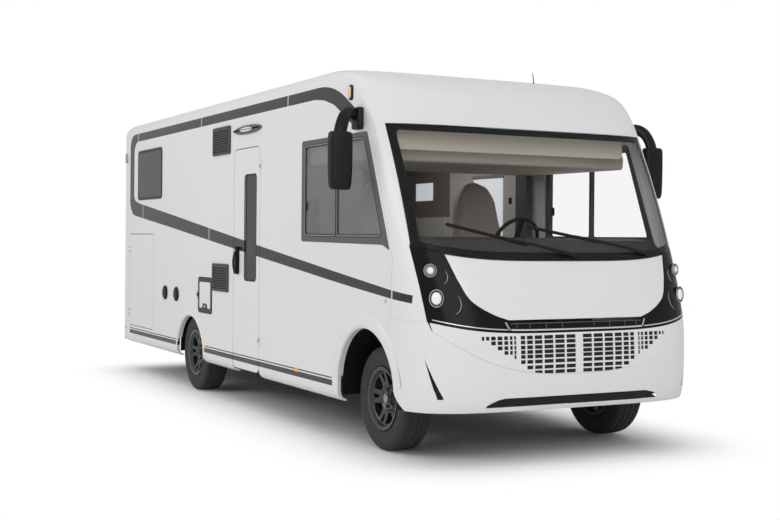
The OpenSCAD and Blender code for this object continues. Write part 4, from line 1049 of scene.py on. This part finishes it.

# lamps in the black panels: (distance from the middle, height, radius, tallness); the pocket ends get arcs of
# bright trim that are a painted highlight on the black pocket rim
lampUnit = dict(units=[(1.014, 1.277, .041, 1.0), (1.004, 1.099, .046, 1.2)],
                pockets=[(.965, 1.245, .05, .056), (.935, 1.072, .077, .082)], aim=(.93, .28, .06),
                ahead=.014)


def makeLamps(c):
    ringParts, lensParts, coreParts, bowlParts, highlightArcParts = [], [], [], [], []
    k = np.asarray(c["aim"]) * (1, -1, 1)
    k /= np.linalg.norm(k)
    a = np.linspace(0, 2 * math.pi, 12, endpoint=False)
    d = np.linspace(0, math.pi / 2, 9)
    for y, z, r, tall in c["units"]:
        m = onMask(-y, z) + c["ahead"] * k

        def turned(profile, n=48, loop=False):
            p, f = revolve(profile, m, k, n, loop=loop)
            return m + (p - m) * (1, 1, tall), f

        ringParts.append(turned(np.stack([.003 + .003 * np.sin(a), r + .003 * np.cos(a)], 1), loop=True))
        ringParts.append(turned(np.stack([.004 + .0018 * np.sin(a), .74 * r + .0018 * np.cos(a)], 1),
                                loop=True))
        bowlParts.append(turned([(-.035, r), (.002, r), (.003, r * .97), (.0015, r * .86), (.003, r * .74),
                                 (.003, 0)]))
        lensParts.append(turned(np.stack([.0035 + .010 * np.sin(d), .7 * r * np.cos(d)], 1), 40))
        coreParts.append(turned(np.stack([.0118 + .0035 * np.sin(d), .45 * r * np.cos(d)], 1), 40))
    # painted highlight: bright trim arcs lie only where a highlight falls on the black pocket rim, thinning
    # towards both ends
    for y, z, ry, rz in c["pockets"]:
        t = np.linspace(math.radians(-68), math.radians(35), 28)
        width = .0024 * np.sin((t - t[0]) / (t[-1] - t[0]) * math.pi) ** .6 + .0002
        path = onMask(-(y - ry * np.cos(t)), z + rz * np.sin(t), .0012)
        highlightArcParts.append(sweep(path, circle(1.0, n=8)[None] * width[:, None, None], k))
    for name, parts, mat in (("lampRings", ringParts, satinTrim), ("lampBowls", bowlParts, blackGloss),
                             ("lampLensUpper", lensParts[:1], lensDim),
                             ("lampLensLower", lensParts[1:], lampLens),
                             ("lampCores", coreParts, lampLens),
                             ("lampPocketHighlightArcs", highlightArcParts, satinTrim)):
        newPiece(name, parts + [otherSide(p) for p in parts], mat)


makeLamps(lampUnit)

# strip trim: bright line along its lower part, slanted fins, small upright ribs
stripTrim = dict(line=.020, thick=(.0042, .0062), ends=(1.035, .56, .535), rib=[.13, .26, .39, .49],
                 fin=(.571, .543))


def makeStripTrim(c):
    parts, ribs = [], []
    far, inner, mid = c["ends"]
    for a, b, r in ((far, inner, c["thick"][0]), (mid, -mid, c["thick"][1])):
        y = np.linspace(-a, -b, 60)
        path = onMask(y, stripLow(y) + c["line"], .001)
        line = sweep(path, circle(r, r * .7, 10), (1, 0, 0))
        parts.append(line)
        if b > 0:
            parts.append(otherSide(line))
    newPiece("brightLine", parts, chrome)
    for y in c["rib"]:
        z = np.linspace(stripLow(y) + .032, .932, 6)
        ribs.append(sweep(onMask(np.full(6, -y), z, .0008), circle(.0028, .002, 8), (1, 0, 0)))
    z = np.linspace(.893, .945, 8)
    fin = sweep(onMask(np.linspace(-c["fin"][1], -c["fin"][0], 8), z, .001), circle(.006, .003, 10),
                (1, 0, 0))
    y = np.linspace(-mid, mid, 40)
    sill = sweep(onMask(y, np.full(40, .9345), .0006), circle(.003, .002, 8), (1, 0, 0))
    newPiece("stripRibs", ribs + [otherSide(p) for p in ribs] + [sill], greyPlastic)
    newPiece("stripFins", [fin, otherSide(fin)], satinTrim)


makeStripTrim(stripTrim)

# tyres: cross-section turned round the axle, with three running grooves and slanted shoulder grooves
tyreForm = dict(r=.365, half=.1125, seat=.2083, turns=360, blocks=72, deep=.007, runs=(-.045, 0.0, .045),
                runWidth=.006,
                wheels=dict(front_right=(2.625, -.905), front_left=(2.625, .905), rear_right=(-1.175, -.99),
                            rear_left=(-1.175, .99)))


def makeTyre(name, x, y, c):
    side = [(-.080, c["seat"]), (-.0885, .2155), (-.0945, .223), (-.0985, .232), (-.1035, .2365),
            (-.1045, .2395), (-.105, .246),
            (-.1085, .256), (-.1085, .26), (-.107, .263), (-.1105, .28), (-.1125, .293), (-.1122, .305),
            (-.111, .318),
            (-.1085, .3235), (-.1085, .3265), (-.1065, .333), (-.102, .344), (-.0965, .3525), (-.089, .3593)]
    top = np.linspace(-.08, .08, 57)
    crown = np.stack([top, c["r"] - .0045 * (np.abs(top) / .08) ** 3], 1)
    prof = np.concatenate([side, crown, np.asarray(side)[::-1] * (-1, 1)])

    def tread(a, r, v):
        run = sum(np.exp(-((a - g) / c["runWidth"]) ** 4) for g in c["runs"])
        wave = np.mod(v * c["blocks"] / (2 * math.pi) + np.abs(a) * 14, 1.0)
        cross = np.exp(-((wave - .5) / .13) ** 4) * np.clip((np.abs(a) - .03) / .01, 0, 1)
        zone = np.clip((r - .345) / .012, 0, 1)
        return -c["deep"] * np.clip(run + .85 * cross, 0, 1) * zone

    newPiece("tyre_" + name + "_rubber", [revolve(prof, (x, y, c["r"]), (0, 1, 0), c["turns"], tread,
                                                  loop=True)], rubber, "wheel_" + name,
             ("tyre_" + name,), sharp=60)


for wheelName, (wheelX, wheelY) in tyreForm["wheels"].items():
    makeTyre(wheelName, wheelX, wheelY, tyreForm)
print("wheels made")

# entry door: black grip over its base, frame round the glass, seal in the gap
doorForm = dict(x=(.010, .626), z=(.345, 2.247), glass=(.273, .547, 1.115, 2.018),
                grip=(.080, .150, 1.165, 1.40))


def makeDoor(c):
    x0, x1, z0, z1 = c["grip"]
    shell = plate(roundRect(x0 - .003, x1 + .003, z0 - .003, z1 + .003, .021),
                  [(0, 0), (0, .024), (.004, .030), (.012, .0315)])
    newPiece("doorGripCover", [shell], blackGloss, "entry_door")
    bow = np.linspace(0, 1, 26)
    path = np.stack([np.full(26, x0 + .048), -1.182 - .018 * np.sin(bow * math.pi) ** .5,
                     z0 + .02 + (z1 - z0 - .075) * bow], 1)
    lock = revolve([(0, .0125), (.004, .0125), (.0055, .011), (.0055, 0)], (x0 + .035, -1.18, z1 - .03),
                   (0, -1, 0), 24)
    newPiece("doorGripBar", [sweep(path, circle(.010, .007, 14), (0, -1, 0))], blackPlastic, "entry_door")
    newPiece("doorLock", [lock], chrome, "entry_door")
    gx0, gx1, gz0, gz1 = c["glass"]
    ring = roundRect(gx0 - .002, gx1 + .002, gz0 - .002, gz1 + .002, .037)
    path = np.stack([ring[:, 0], np.full(len(ring), -1.1495), ring[:, 1]], 1)
    newPiece("doorGlassSeal", [sweep(path, circle(.006, .0035, 10), (0, -1, 0), loop=True)], sealRubber,
             "entry_door")


makeDoor(doorForm)


# dark seal lying in the gap round a door or flap, on the wall's side
def makeSeal(name, x, z, r, gap=.0035, depth=.010, flip=False):
    ring = roundRect(x[0] - gap, x[1] + gap, z[0] - gap, z[1] + gap, r + gap)
    path = np.stack([ring[:, 0], np.full(len(ring), -1.15 + depth), ring[:, 1]], 1)
    half = np.array([(-.0034, -.006), (.0034, -.006), (.0034, .006), (-.0034, .006)])
    part = sweep(path, half, (0, -1, 0), loop=True)
    newPiece(name, [otherSide(part) if flip else part], sealRubber)


makeSeal("doorSeal", doorForm["x"], doorForm["z"], .06)
makeSeal("garageSealRight", (-3.34, -2.436), (.5, 1.506), .025)
makeSeal("garageSealLeft", (-3.34, -2.436), (.5, 1.506), .025, flip=True)

# service flap: white middle in the black rim, catch notch below
hatchForm = dict(x=(-.944, -.560), z=(.775, 1.10), rim=.040, notch=(.060, .045))


def makeHatch(c):
    x0, x1, z0, z1 = c["x"][0] + c["rim"], c["x"][1] - c["rim"], c["z"][0] + c["rim"], c["z"][1] - c["rim"]
    m, (w, h) = (x0 + x1) / 2, c["notch"]
    o = softPoly([(x0, z0), (m - w - .02, z0), (m - w, z0 + h), (m + w, z0 + h), (m + w + .02, z0), (x1, z0),
                  (x1, z1), (x0, z1)],
                 .011)
    newPiece("hatchMiddle", [plate(o, [(0, 0), (0, .0028), (.0012, .004), (.004, .0042)])], paintPlain,
             "service_hatch")
    lock = revolve([(0, .014), (.006, .014), (.008, .012), (.008, 0)], (m, -1.15, z0 + .018), (0, -1, 0), 28)
    newPiece("hatchLock", [lock], chrome, "service_hatch")


makeHatch(hatchForm)

# filler lock on the side
def makeLocks():
    def button(x, z, r=.013):
        return revolve([(0, r), (.004, r), (.006, r * .85), (.006, 0)], (x, -1.15, z), (0, -1, 0), 24)
    newPiece("fillerLock", [button(2.95, 1.065, .016)], chrome)


makeLocks()

# cab windows: dark gasket and a fine light bead round each pane, runner between the panes, catch
cabForm = dict(panes=[[(1.575, 1.505), (2.125, 1.5), (2.125, 2.184), (1.575, 2.184)],
                      [(2.16, 1.5), (2.865, 1.5), (2.59, 2.184), (2.16, 2.184)]], soft=.034)


def makeCabGaskets(c):
    dark, light = [], []
    for pane in c["panes"]:
        o = softPoly(pane, c["soft"])
        path = np.stack([o[:, 0], np.full(len(o), -1.1495), o[:, 1]], 1)
        g = sweep(path, circle(.011, .0035, 10), (0, -1, 0), loop=True)
        b = sweep(path - (0, .0025, 0), circle(.0028, .0018, 8), (0, -1, 0), loop=True)
        dark += [g, otherSide(g)]
        light += [b, otherSide(b)]
    z = np.linspace(1.5, 2.184, 12)
    bar = sweep(np.stack([np.full(12, 2.1425), np.full(12, -1.1505), z], 1), circle(.014, .005, 12),
                (0, -1, 0))
    catch = plate(roundRect(1.582, 1.612, 1.69, 1.76, .010), [(0, 0), (0, .006), (.003, .009), (.008, .010)],
                  y=-1.1445)
    newPiece("cabGaskets", dark + [bar, otherSide(bar)], sealRubber)
    newPiece("cabBeads", light, satinTrim)
    newPiece("cabCatches", [catch, otherSide(catch)], blackPlastic)


makeCabGaskets(cabForm)

# rear windows: dark printed border on the pane
def makeRearBorders():
    o = roundRect(-3.004, -2.153, 1.894, 2.401, .03)
    path = np.stack([o[:, 0], np.full(len(o), -1.1562), o[:, 1]], 1)
    g = sweep(path, circle(.015, .0012, 10), (0, -1, 0), loop=True)
    newPiece("rearWindowBorders", [g, otherSide(g)], blackGloss)


makeRearBorders()

# side, shoulder and tail lamps, and the two filler caps
smallLamps = dict(low=[-3.48, -.72, 1.444], lowZ=.456, shoulder=(2.356, 2.416, 2.465, 2.573),
                  tail=(-3.5, -3.44, 2.31, 2.418),
                  caps=[-1.992, -1.62], capZ=.911, capR=.072)


def makeSmallLamps(c):
    low = [plate(roundRect(x - .03, x + .03, c["lowZ"] - .016, c["lowZ"] + .016, .015),
                 [(0, 0), (0, .003), (.003, .0065), (.008, .0078), (.012, .008)]) for x in c["low"]]
    x0, x1, z0, z1 = c["shoulder"]
    base = plate(roundRect(x0, x1, z0, z1, .022), [(0, 0), (0, .009), (.003, .012), (.008, .0125)])
    lens = plate(roundRect(x0 + .004, x1 - .014, z0 + .012, z1 - .012, .018),
                 [(0, .008), (0, .016), (.004, .0195), (.01, .02)])
    x0, x1, z0, z1 = c["tail"]
    tail = plate(roundRect(x0, x1, z0, z1, .026), [(0, 0), (0, .012), (.005, .018), (.014, .02)])
    for name, parts, mat, gone in (("sideLamps", low, amber, ("marker_lamps",)),
                                   ("shoulderBases", [base], blackPlastic, ()),
                                   ("shoulderLenses", [lens], warmLens, ()),
                                   ("tailMarks", [tail], lampGrey, ())):
        newPiece(name, parts + [otherSide(p) for p in parts], mat, "body", gone)
    r = c["capR"]
    dome = [(0, r), (.008, r), (.013, r * .95), (.018, r * .8), (.021, r * .5), (.022, 0)]
    newPiece("fillerDomes", [revolve(dome, (x, -1.15, c["capZ"]), (0, -1, 0), 48) for x in c["caps"]],
             blackPlastic, "body",
             ("filler_caps",))


makeSmallLamps(smallLamps)

# arch flares: a soft lip round each wheel opening, from the skirt over the top to the bumper
flareForm = dict(lip=[(-.055, -.002), (-.048, .002), (-.03, .008), (-.008, .0125), (.015, .0135),
                      (.034, .0115), (.044, .006),
                      (.047, -.004), (.04, -.01), (-.05, -.01)],
                 arches=[(2.625, .43, .437, 8, 178, 1.0), (-1.195, .325, .4, 2, 178, .4)])


def makeFlares(c):
    parts = []
    for x0, z0, r, a0, a1, size in c["arches"]:
        a = np.radians(np.linspace(a1, a0, 90))
        x, z = x0 + (r + .046 * size) * np.cos(a), z0 + (r + .046 * size) * np.sin(a)
        lead = throughTable(mask["start"], z)
        u = np.maximum(0, (x - lead) / (throughTable(mask["line"], z) - lead))
        y = -mask["half"] * (1 - u ** mask["power"]) ** (1 / mask["power"])
        k = np.clip(np.minimum(np.arange(90) / 6, np.arange(90)[::-1] / 26), .05, 1)[:, None, None]
        lip = np.asarray(c["lip"])[None] * np.concatenate([np.full_like(k, size), k * size ** .5], 2)
        parts.append(sweep(np.stack([x, y, z], 1), lip, (0, -1, 0)))
    newPiece("archFlares", parts + [otherSide(p) for p in parts], paintPlain)


makeFlares(flareForm)

# porch lamp: long lens shape in a satin housing
porchForm = dict(x=(.018, .662), z=(2.370, 2.447), deep=.030)


def makePorch(c):
    t = np.linspace(0, 2 * math.pi, 72, endpoint=False)
    m, h = (c["x"][0] + c["x"][1]) / 2, (c["x"][1] - c["x"][0]) / 2
    mz, hz = (c["z"][0] + c["z"][1]) / 2, (c["z"][1] - c["z"][0]) / 2

    def oval(kx, kz):
        return np.stack([m + kx * h * np.sign(np.cos(t)) * np.abs(np.cos(t)) ** .9, mz + kz * hz * np.sin(t)],
                        1)

    body = plate(oval(1, 1), [(0, 0), (0, .006), (.004, .016), (.010, .022), (.016, .025)])
    lens = plate(oval(.45, .52), [(0, .012), (0, .024), (.003, .028), (.008, .0295)])
    newPiece("porchHousing", [body], greyPlastic, "body", ("porch_lamp",))
    newPiece("porchLens", [lens], lampWhite)


makePorch(porchForm)
print("side pieces made")

# mirrors: foot on the pillar, bowed arm, tall head with a flat glass behind
mirrorForm = dict(foot=(2.53, -1.15, 2.33), path=[(2.53, -1.175, 2.335), (2.548, -1.215, 2.352),
                                                  (2.575, -1.262, 2.355),
                  (2.605, -1.305, 2.325), (2.625, -1.335, 2.27), (2.635, -1.352, 2.21),
                  (2.635, -1.355, 2.16)],
                  head=(2.635, -1.355, 2.015), half=(.055, .085, .2))


def makeMirrors(c):
    fx, _, fz = c["foot"]
    foot = plate(roundRect(fx - .055, fx + .055, fz - .085, fz + .07, .018),
                 [(0, 0), (0, .034), (.004, .042), (.012, .046)])
    key = np.asarray(c["path"])
    s = np.linspace(0, len(key) - 1, 40)
    at = np.arange(len(key))
    path = np.stack([throughTable(np.stack([at, key[:, d]], 1), s) for d in range(3)], 1)
    k = s / s[-1]
    wide, thin = .040 + .010 * k, .024 + .004 * k
    prof = circle(1.0, n=20)[None] * np.stack([wide, thin], 1)[:, None]
    arm = sweep(path, prof, (1, 0, 0))
    v = np.linspace(-math.pi / 2, math.pi / 2, 41)[:, None]
    u = np.linspace(0, 2 * math.pi, 64, endpoint=False)[None]
    e1, e2 = .2, .5
    cv, sv = np.sign(np.cos(v)) * np.abs(np.cos(v)) ** e1, np.sign(np.sin(v)) * np.abs(np.sin(v)) ** e1
    cu, su = np.sign(np.cos(u)) * np.abs(np.cos(u)) ** e2, np.sign(np.sin(u)) * np.abs(np.sin(u)) ** e2
    narrow = 1 - .12 * np.clip(-sv, 0, 1) ** 2  # narrower towards its foot
    hx = np.where(cu > 0, 1.0, .55)
    p = np.stack([c["head"][0] + c["half"][0] * cv * cu * hx, c["head"][1] + c["half"][1] * cv * su * narrow,
                  np.broadcast_to(c["head"][2] + c["half"][2] * sv, (41, 64))], -1)
    head = (p, gridFaces(41, 64, wrapV=True))
    parts = [foot, arm, head]
    newPiece("mirrorBodies", parts + [otherSide(q) for q in parts], blackPlastic, "body", ("mirrors",))
    y0, z0 = c["head"][1], c["head"][2]
    o = roundRect(y0 - .068, y0 + .068, z0 - .165, z0 + .165, .03)
    back = c["head"][0] - c["half"][0] * .55
    q = np.stack([np.full(len(o), back - .0015), o[:, 0], o[:, 1]], 1)
    q2 = q + (.012, 0, 0)
    n = len(o)
    glass = (np.concatenate([q, q2]), gridFaces(2, n, wrapV=True) + [list(range(n)),
                                                                     list(range(n, 2 * n))[::-1]])
    newPiece("mirrorGlasses", [glass, otherSide(glass)], chrome)


makeMirrors(mirrorForm)

# wipers: arm from the pivot to the middle of a thin blade that lies on the glass
wiperForm = dict(blades=[((-.86, 1.578), (-.49, 1.492), (.09, 1.372)),
                         ((-.235, 1.566), (.12, 1.503), (.72, 1.392))])


def makeWipers(c):
    parts = []
    for tip, mid, pivot in c["blades"]:
        tip, mid, pivot = np.asarray(tip), np.asarray(mid), np.asarray(pivot)
        s = np.linspace(0, 1, 60)[:, None]
        blade = tip + (mid + (mid - tip) * .55 - tip) * s
        root = onMask(blade[:, 0], blade[:, 1], .005)
        parts.append(sweep(root, [(-.004, -.004), (.004, -.004), (.012, .004), (.009, .012), (-.009, .012),
                                  (-.012, .004)],
                           maskNormal(planAngle(blade[:, 0], blade[:, 1]), blade[:, 1])))
        line = mid + (pivot - mid) * s
        lift = .018 + .006 * np.sin(s[:, 0] * math.pi)
        prof = circle(1.0, n=12)[None] * np.stack([.010 + .006 * s[:, 0], .005 + .004 * s[:, 0]], 1)[:, None]
        parts.append(sweep(onMask(line[:, 0], line[:, 1], lift), prof,
                           maskNormal(planAngle(line[:, 0], line[:, 1]), line[:, 1])))
        m = onMask(pivot[0], pivot[1], .0)
        k = maskNormal(planAngle(pivot[0], pivot[1]), pivot[1])
        parts.append(revolve([(.001, .017), (.012, .016), (.016, .012), (.016, 0)], m, k, 24))
    newPiece("wiperSet", parts, blackPlastic, "body", ("wipers",))


makeWipers(wiperForm)

# roof rod at the brow
def makeRod():
    p = np.array([(2.127, .576, 2.722), (2.126, .576, 2.74), (2.115, .576, 2.808)])
    rod = sweep(p, circle(1.0, n=10)[None] * np.array([.0045, .004, .003])[:, None, None], (1, 0, 0))
    base = revolve([(0, .020), (.006, .019), (.012, .012), (.014, .006), (.014, 0)], (2.127, .576, 2.718),
                   (0, 0, 1), 28)
    newPiece("roofRod", [rod, base], blackPlastic)


makeRod()
print("mirrors and wipers made")

# cabin seen through the glass: (name, x, y, z, material) boxes with eased rims
cabinForm = dict(
    valance=((2.735, 2.75), (-.973, .973), (2.105, 2.243)), spots=[-.93, -.47, 0, .47, .93],
    lining=((-.06, 1.165), (1.085, 1.1), (.72, 2.245)), board=((-1.12, -.065), (1.07, 1.1), (1.70, 2.19)),
    bench=((-1.12, -.065), (1.04, 1.1), (.72, 1.695)), locker=((-1.12, 1.12), (.98, 1.1), (2.20, 2.42)),
    blind=((.40, .90), (1.078, 1.086), (1.50, 2.04)), boardPane=((-.70, -.36), (1.062, 1.071), (1.865, 2.04)),
    rail=((.385, .915), (1.070, 1.086), (2.045, 2.075)), post=((1.17, 1.34), (1.04, 1.1), (.72, 2.42)),
    plugs=((1.00, 1.045), (1.078, 1.086), (1.80, 1.86)))


def makeCabin(c):
    def box(x, y, z, r=.006):
        o = roundRect(x[0], x[1], z[0], z[1], r, 4)
        return plate(o, [(0, 0), (0, y[1] - y[0] - .003), (.003, y[1] - y[0])], y[1])

    # the blind and the small pane in the board both carry the painted glow
    for key, mat in (("lining", creamPanel), ("board", brownBoard), ("bench", creamPanel),
                     ("locker", creamPanel),
                     ("blind", blindClothPaintedGlow), ("boardPane", blindClothPaintedGlow), ("rail", satinTrim),
                     ("post", greyPlastic),
                     ("plugs", blackPlastic)):
        newPiece("cabin_" + key, [box(*c[key])], mat)
    x, y, z = c["valance"]
    o = roundRect(y[0], y[1], z[0], z[1], .03, 6)
    n = len(o)
    ring = np.concatenate([np.stack([np.full(n, v), o[:, 0], o[:, 1]], 1) for v in x])
    board = (ring, gridFaces(2, n, wrapV=True) + [list(range(n)), list(range(n, 2 * n))[::-1]])
    newPiece("windscreenValance", [board], beige)
    spots = [revolve([(0, .006), (.002, .006), (.003, .004), (.003, 0)], (x[1], v, z[1] - .05), (1, 0, 0), 16)
             for v in c["spots"]]
    newPiece("valanceSpots", spots, lampWhite)


makeCabin(cabinForm)
print("cabin made")

# cab seats: leather pads on a dark pedestal; pads are crowned closed forms, blown out between their seams
seatForm = dict(
    place=(1.57, .44, .66), voxel=.008, pressure=4.0, frames=20, cap=.014,
    cushion=dict(side=[(0, .262), (.25, .258), (.515, .275), (.537, .33), (.525, .388), (.25, .392),
                       (.02, .398), (-.004, .33)],
                 wide=[(0, .235), (.3, .248), (.55, .25)], seams=(.150,)),
    back=dict(side=[(-.032, .37), (.03, .362), (.094, .395), (.06, .6), (.01, .86), (-.05, 1.15),
                    (-.07, 1.25), (-.098, 1.294),
                    (-.145, 1.298), (-.176, 1.285), (-.17, 1.2), (-.165, 1.1), (-.13, .85), (-.07, .55)],
              wide=[(.36, .222), (.6, .225), (.9, .212), (1.06, .195), (1.16, .168), (1.225, .132),
                    (1.265, .092), (1.29, .045),
                    (1.3, .02)], seams=(.125,)),
    base=((.08, .42), (-.18, .18), (.0, .275)))


# pad: a side outline filled across its width; the section thins and rounds towards both sides
def padMesh(c, across):
    side = np.asarray(across["side"])
    o = softPoly(side, .02, 6)
    mid = o.mean(0)
    key = 0 if across is c["cushion"] else 1
    wide = throughTable(across["wide"], o[:, key])
    a = np.linspace(-math.pi / 2, math.pi / 2, 27)
    lat = np.sign(np.sin(a)) * np.abs(np.sin(a)) ** .55
    shrink = np.abs(np.cos(a)) ** .28
    if key:
        spine = np.stack([np.interp(o[:, 1], [.36, .6, .86, 1.15, 1.3], [.03, 0, -.055, -.105, -.125]),
                          o[:, 1]], 1)
        mid = np.stack([spine[:, 0], np.clip(spine[:, 1], .395, 1.265)], 1)
    else:
        mid = np.stack([np.clip(o[:, 0], .06, .47), np.full(len(o), .328)], 1)
    xz = mid[None] + (o - mid)[None] * shrink[:, None, None]
    y = lat[:, None] * wide[None]
    p = np.stack([xz[..., 0], y, xz[..., 1]], -1)
    return p, gridFaces(27, len(o), wrapV=True)


def makeSeats(c):
    leatherParts = []
    for name in ("cushion", "back"):
        p, f = padMesh(c, c[name])
        p = p + np.asarray(c["place"]) * (1, -1, 1)
        pad = newPiece("seat_" + name + "_right", [(p, f)], leather)
        blowOut(pad, c, c[name]["seams"])
        me = pad.data.copy()
        me.transform(Matrix.Diagonal((1, -1, 1, 1)))
        me.flip_normals()
        twin = bpy.data.objects.new("seat_" + name + "_left", me)
        scene.collection.objects.link(twin)
        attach(twin, "body")
        leatherParts += [pad, twin]
    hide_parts("seats")
    (x0, x1), (y0, y1), (z0, z1) = c["base"]
    x, y, z = c["place"]
    o = roundRect(x + x0, x + x1, -y + y0, -y + y1, .03)
    ring = np.stack([o[:, 0], o[:, 1], np.full(len(o), z + z0)], 1)
    top = ring + (0, 0, z1 - z0)
    n = len(o)
    block = (np.concatenate([ring, top]), gridFaces(2, n, wrapV=True) + [list(range(n))[::-1],
                                                                         list(range(n, 2 * n))])
    newPiece("seatPedestals", [block, otherSide(block)], blackPlastic)


# cloth under pressure: remeshed copy, seam lines held, movement capped, result put in the mesh
def blowOut(pad, c, seams):
    me = pad.data
    work = bpy.data.objects.new("padWork", me.copy())
    scene.collection.objects.link(work)
    r = work.modifiers.new("even", "REMESH")
    r.mode = "VOXEL"
    r.voxel_size = c["voxel"]
    deps = bpy.context.evaluated_depsgraph_get()
    even = bpy.data.meshes.new_from_object(work.evaluated_get(deps))
    work.modifiers.clear()
    work.data = even
    n = len(even.vertices)
    start = np.empty(n * 3)
    even.vertices.foreach_get("co", start)
    start = start.reshape(-1, 3)
    off = np.abs(np.abs(start[:, 1] + c["place"][1])[:, None] - np.asarray(seams)[None]).min(1)
    held = np.nonzero(off < c["voxel"] * .8)[0]
    g = work.vertex_groups.new(name="held")
    g.add(held.tolist(), 1.0, "REPLACE")
    cloth = work.modifiers.new("cloth", "CLOTH")
    s = cloth.settings
    s.use_pressure = True
    s.uniform_pressure_force = c["pressure"]
    s.vertex_group_mass = "held"
    s.quality = 5
    s.effector_weights.gravity = 0
    cloth.collision_settings.use_collision = False
    cloth.point_cache.frame_start, cloth.point_cache.frame_end = 1, c["frames"]
    for k in range(1, c["frames"] + 1):
        scene.frame_set(k)
    deps = bpy.context.evaluated_depsgraph_get()
    done = bpy.data.meshes.new_from_object(work.evaluated_get(deps))
    end = np.empty(n * 3)
    done.vertices.foreach_get("co", end)
    move = end.reshape(-1, 3) - start
    length = np.linalg.norm(move, axis=1)[:, None]
    move *= np.minimum(1, c["cap"] / np.maximum(length, 1e-9))
    even.vertices.foreach_set("co", (start + move).ravel())
    even.update()
    scene.frame_set(1)
    bpy.data.objects.remove(work)
    even.materials.clear()
    even.materials.append(leather)
    even.polygons.foreach_set("use_smooth", np.ones(len(even.polygons), bool))
    pad.data = even
    print("pad blown out:", pad.name, n, "points, moved up to", round(float(length.max()) * 1000, 1), "mm")


makeSeats(seatForm)
print("seats made")

# floor: pale sheet that keeps the shadow under the vehicle and fades to the white surroundings beside it
floorForm = dict(half=60, tone=.9, core=(3.0, .7), reach=1.25)


def makeFloor(c):
    h = c["half"]
    me = bpy.data.meshes.new("floor")
    me.from_pydata([(-h, -h, -.001), (h, -h, -.001), (h, h, -.001), (-h, h, -.001)], [], [(0, 1, 2, 3)])
    floor = bpy.data.objects.new("floor", me)
    scene.collection.objects.link(floor)
    mat, nt, bsdf = newMaterial("floorPale", (c["tone"],) * 3, 0.9, **{"Specular IOR Level": 0.0})
    addGrain(nt, bsdf, (c["tone"],) * 3, 0.9, scale=40, drift=0.004)
    _, p = objectPoint(nt)
    over = [mathNode(nt, "MAXIMUM", mathNode(nt, "SUBTRACT", mathNode(nt, "ABSOLUTE", p[k]), q), 0.0)
            for k, q in zip("XY", c["core"])]
    far = mathNode(nt, "SQRT", mathNode(nt, "ADD", mathNode(nt, "POWER", over[0], 2),
                                        mathNode(nt, "POWER", over[1], 2)))
    ramp = nt.nodes.new("ShaderNodeMapRange")
    ramp.interpolation_type = "SMOOTHERSTEP"
    ramp.inputs["From Max"].default_value = c["reach"]
    nt.links.new(far, ramp.inputs["Value"])
    white = nt.nodes.new("ShaderNodeEmission")
    mix = nt.nodes.new("ShaderNodeMixShader")
    path = nt.nodes.new("ShaderNodeLightPath")
    nt.links.new(mathNode(nt, "MULTIPLY", ramp.outputs[0], path.outputs["Is Camera Ray"]), mix.inputs["Fac"])
    nt.links.new(bsdf.outputs[0], mix.inputs[1])
    nt.links.new(white.outputs[0], mix.inputs[2])
    nt.links.new(mix.outputs[0], nt.nodes["Material Output"].inputs["Surface"])
    floor.data.materials.append(mat)


makeFloor(floorForm)
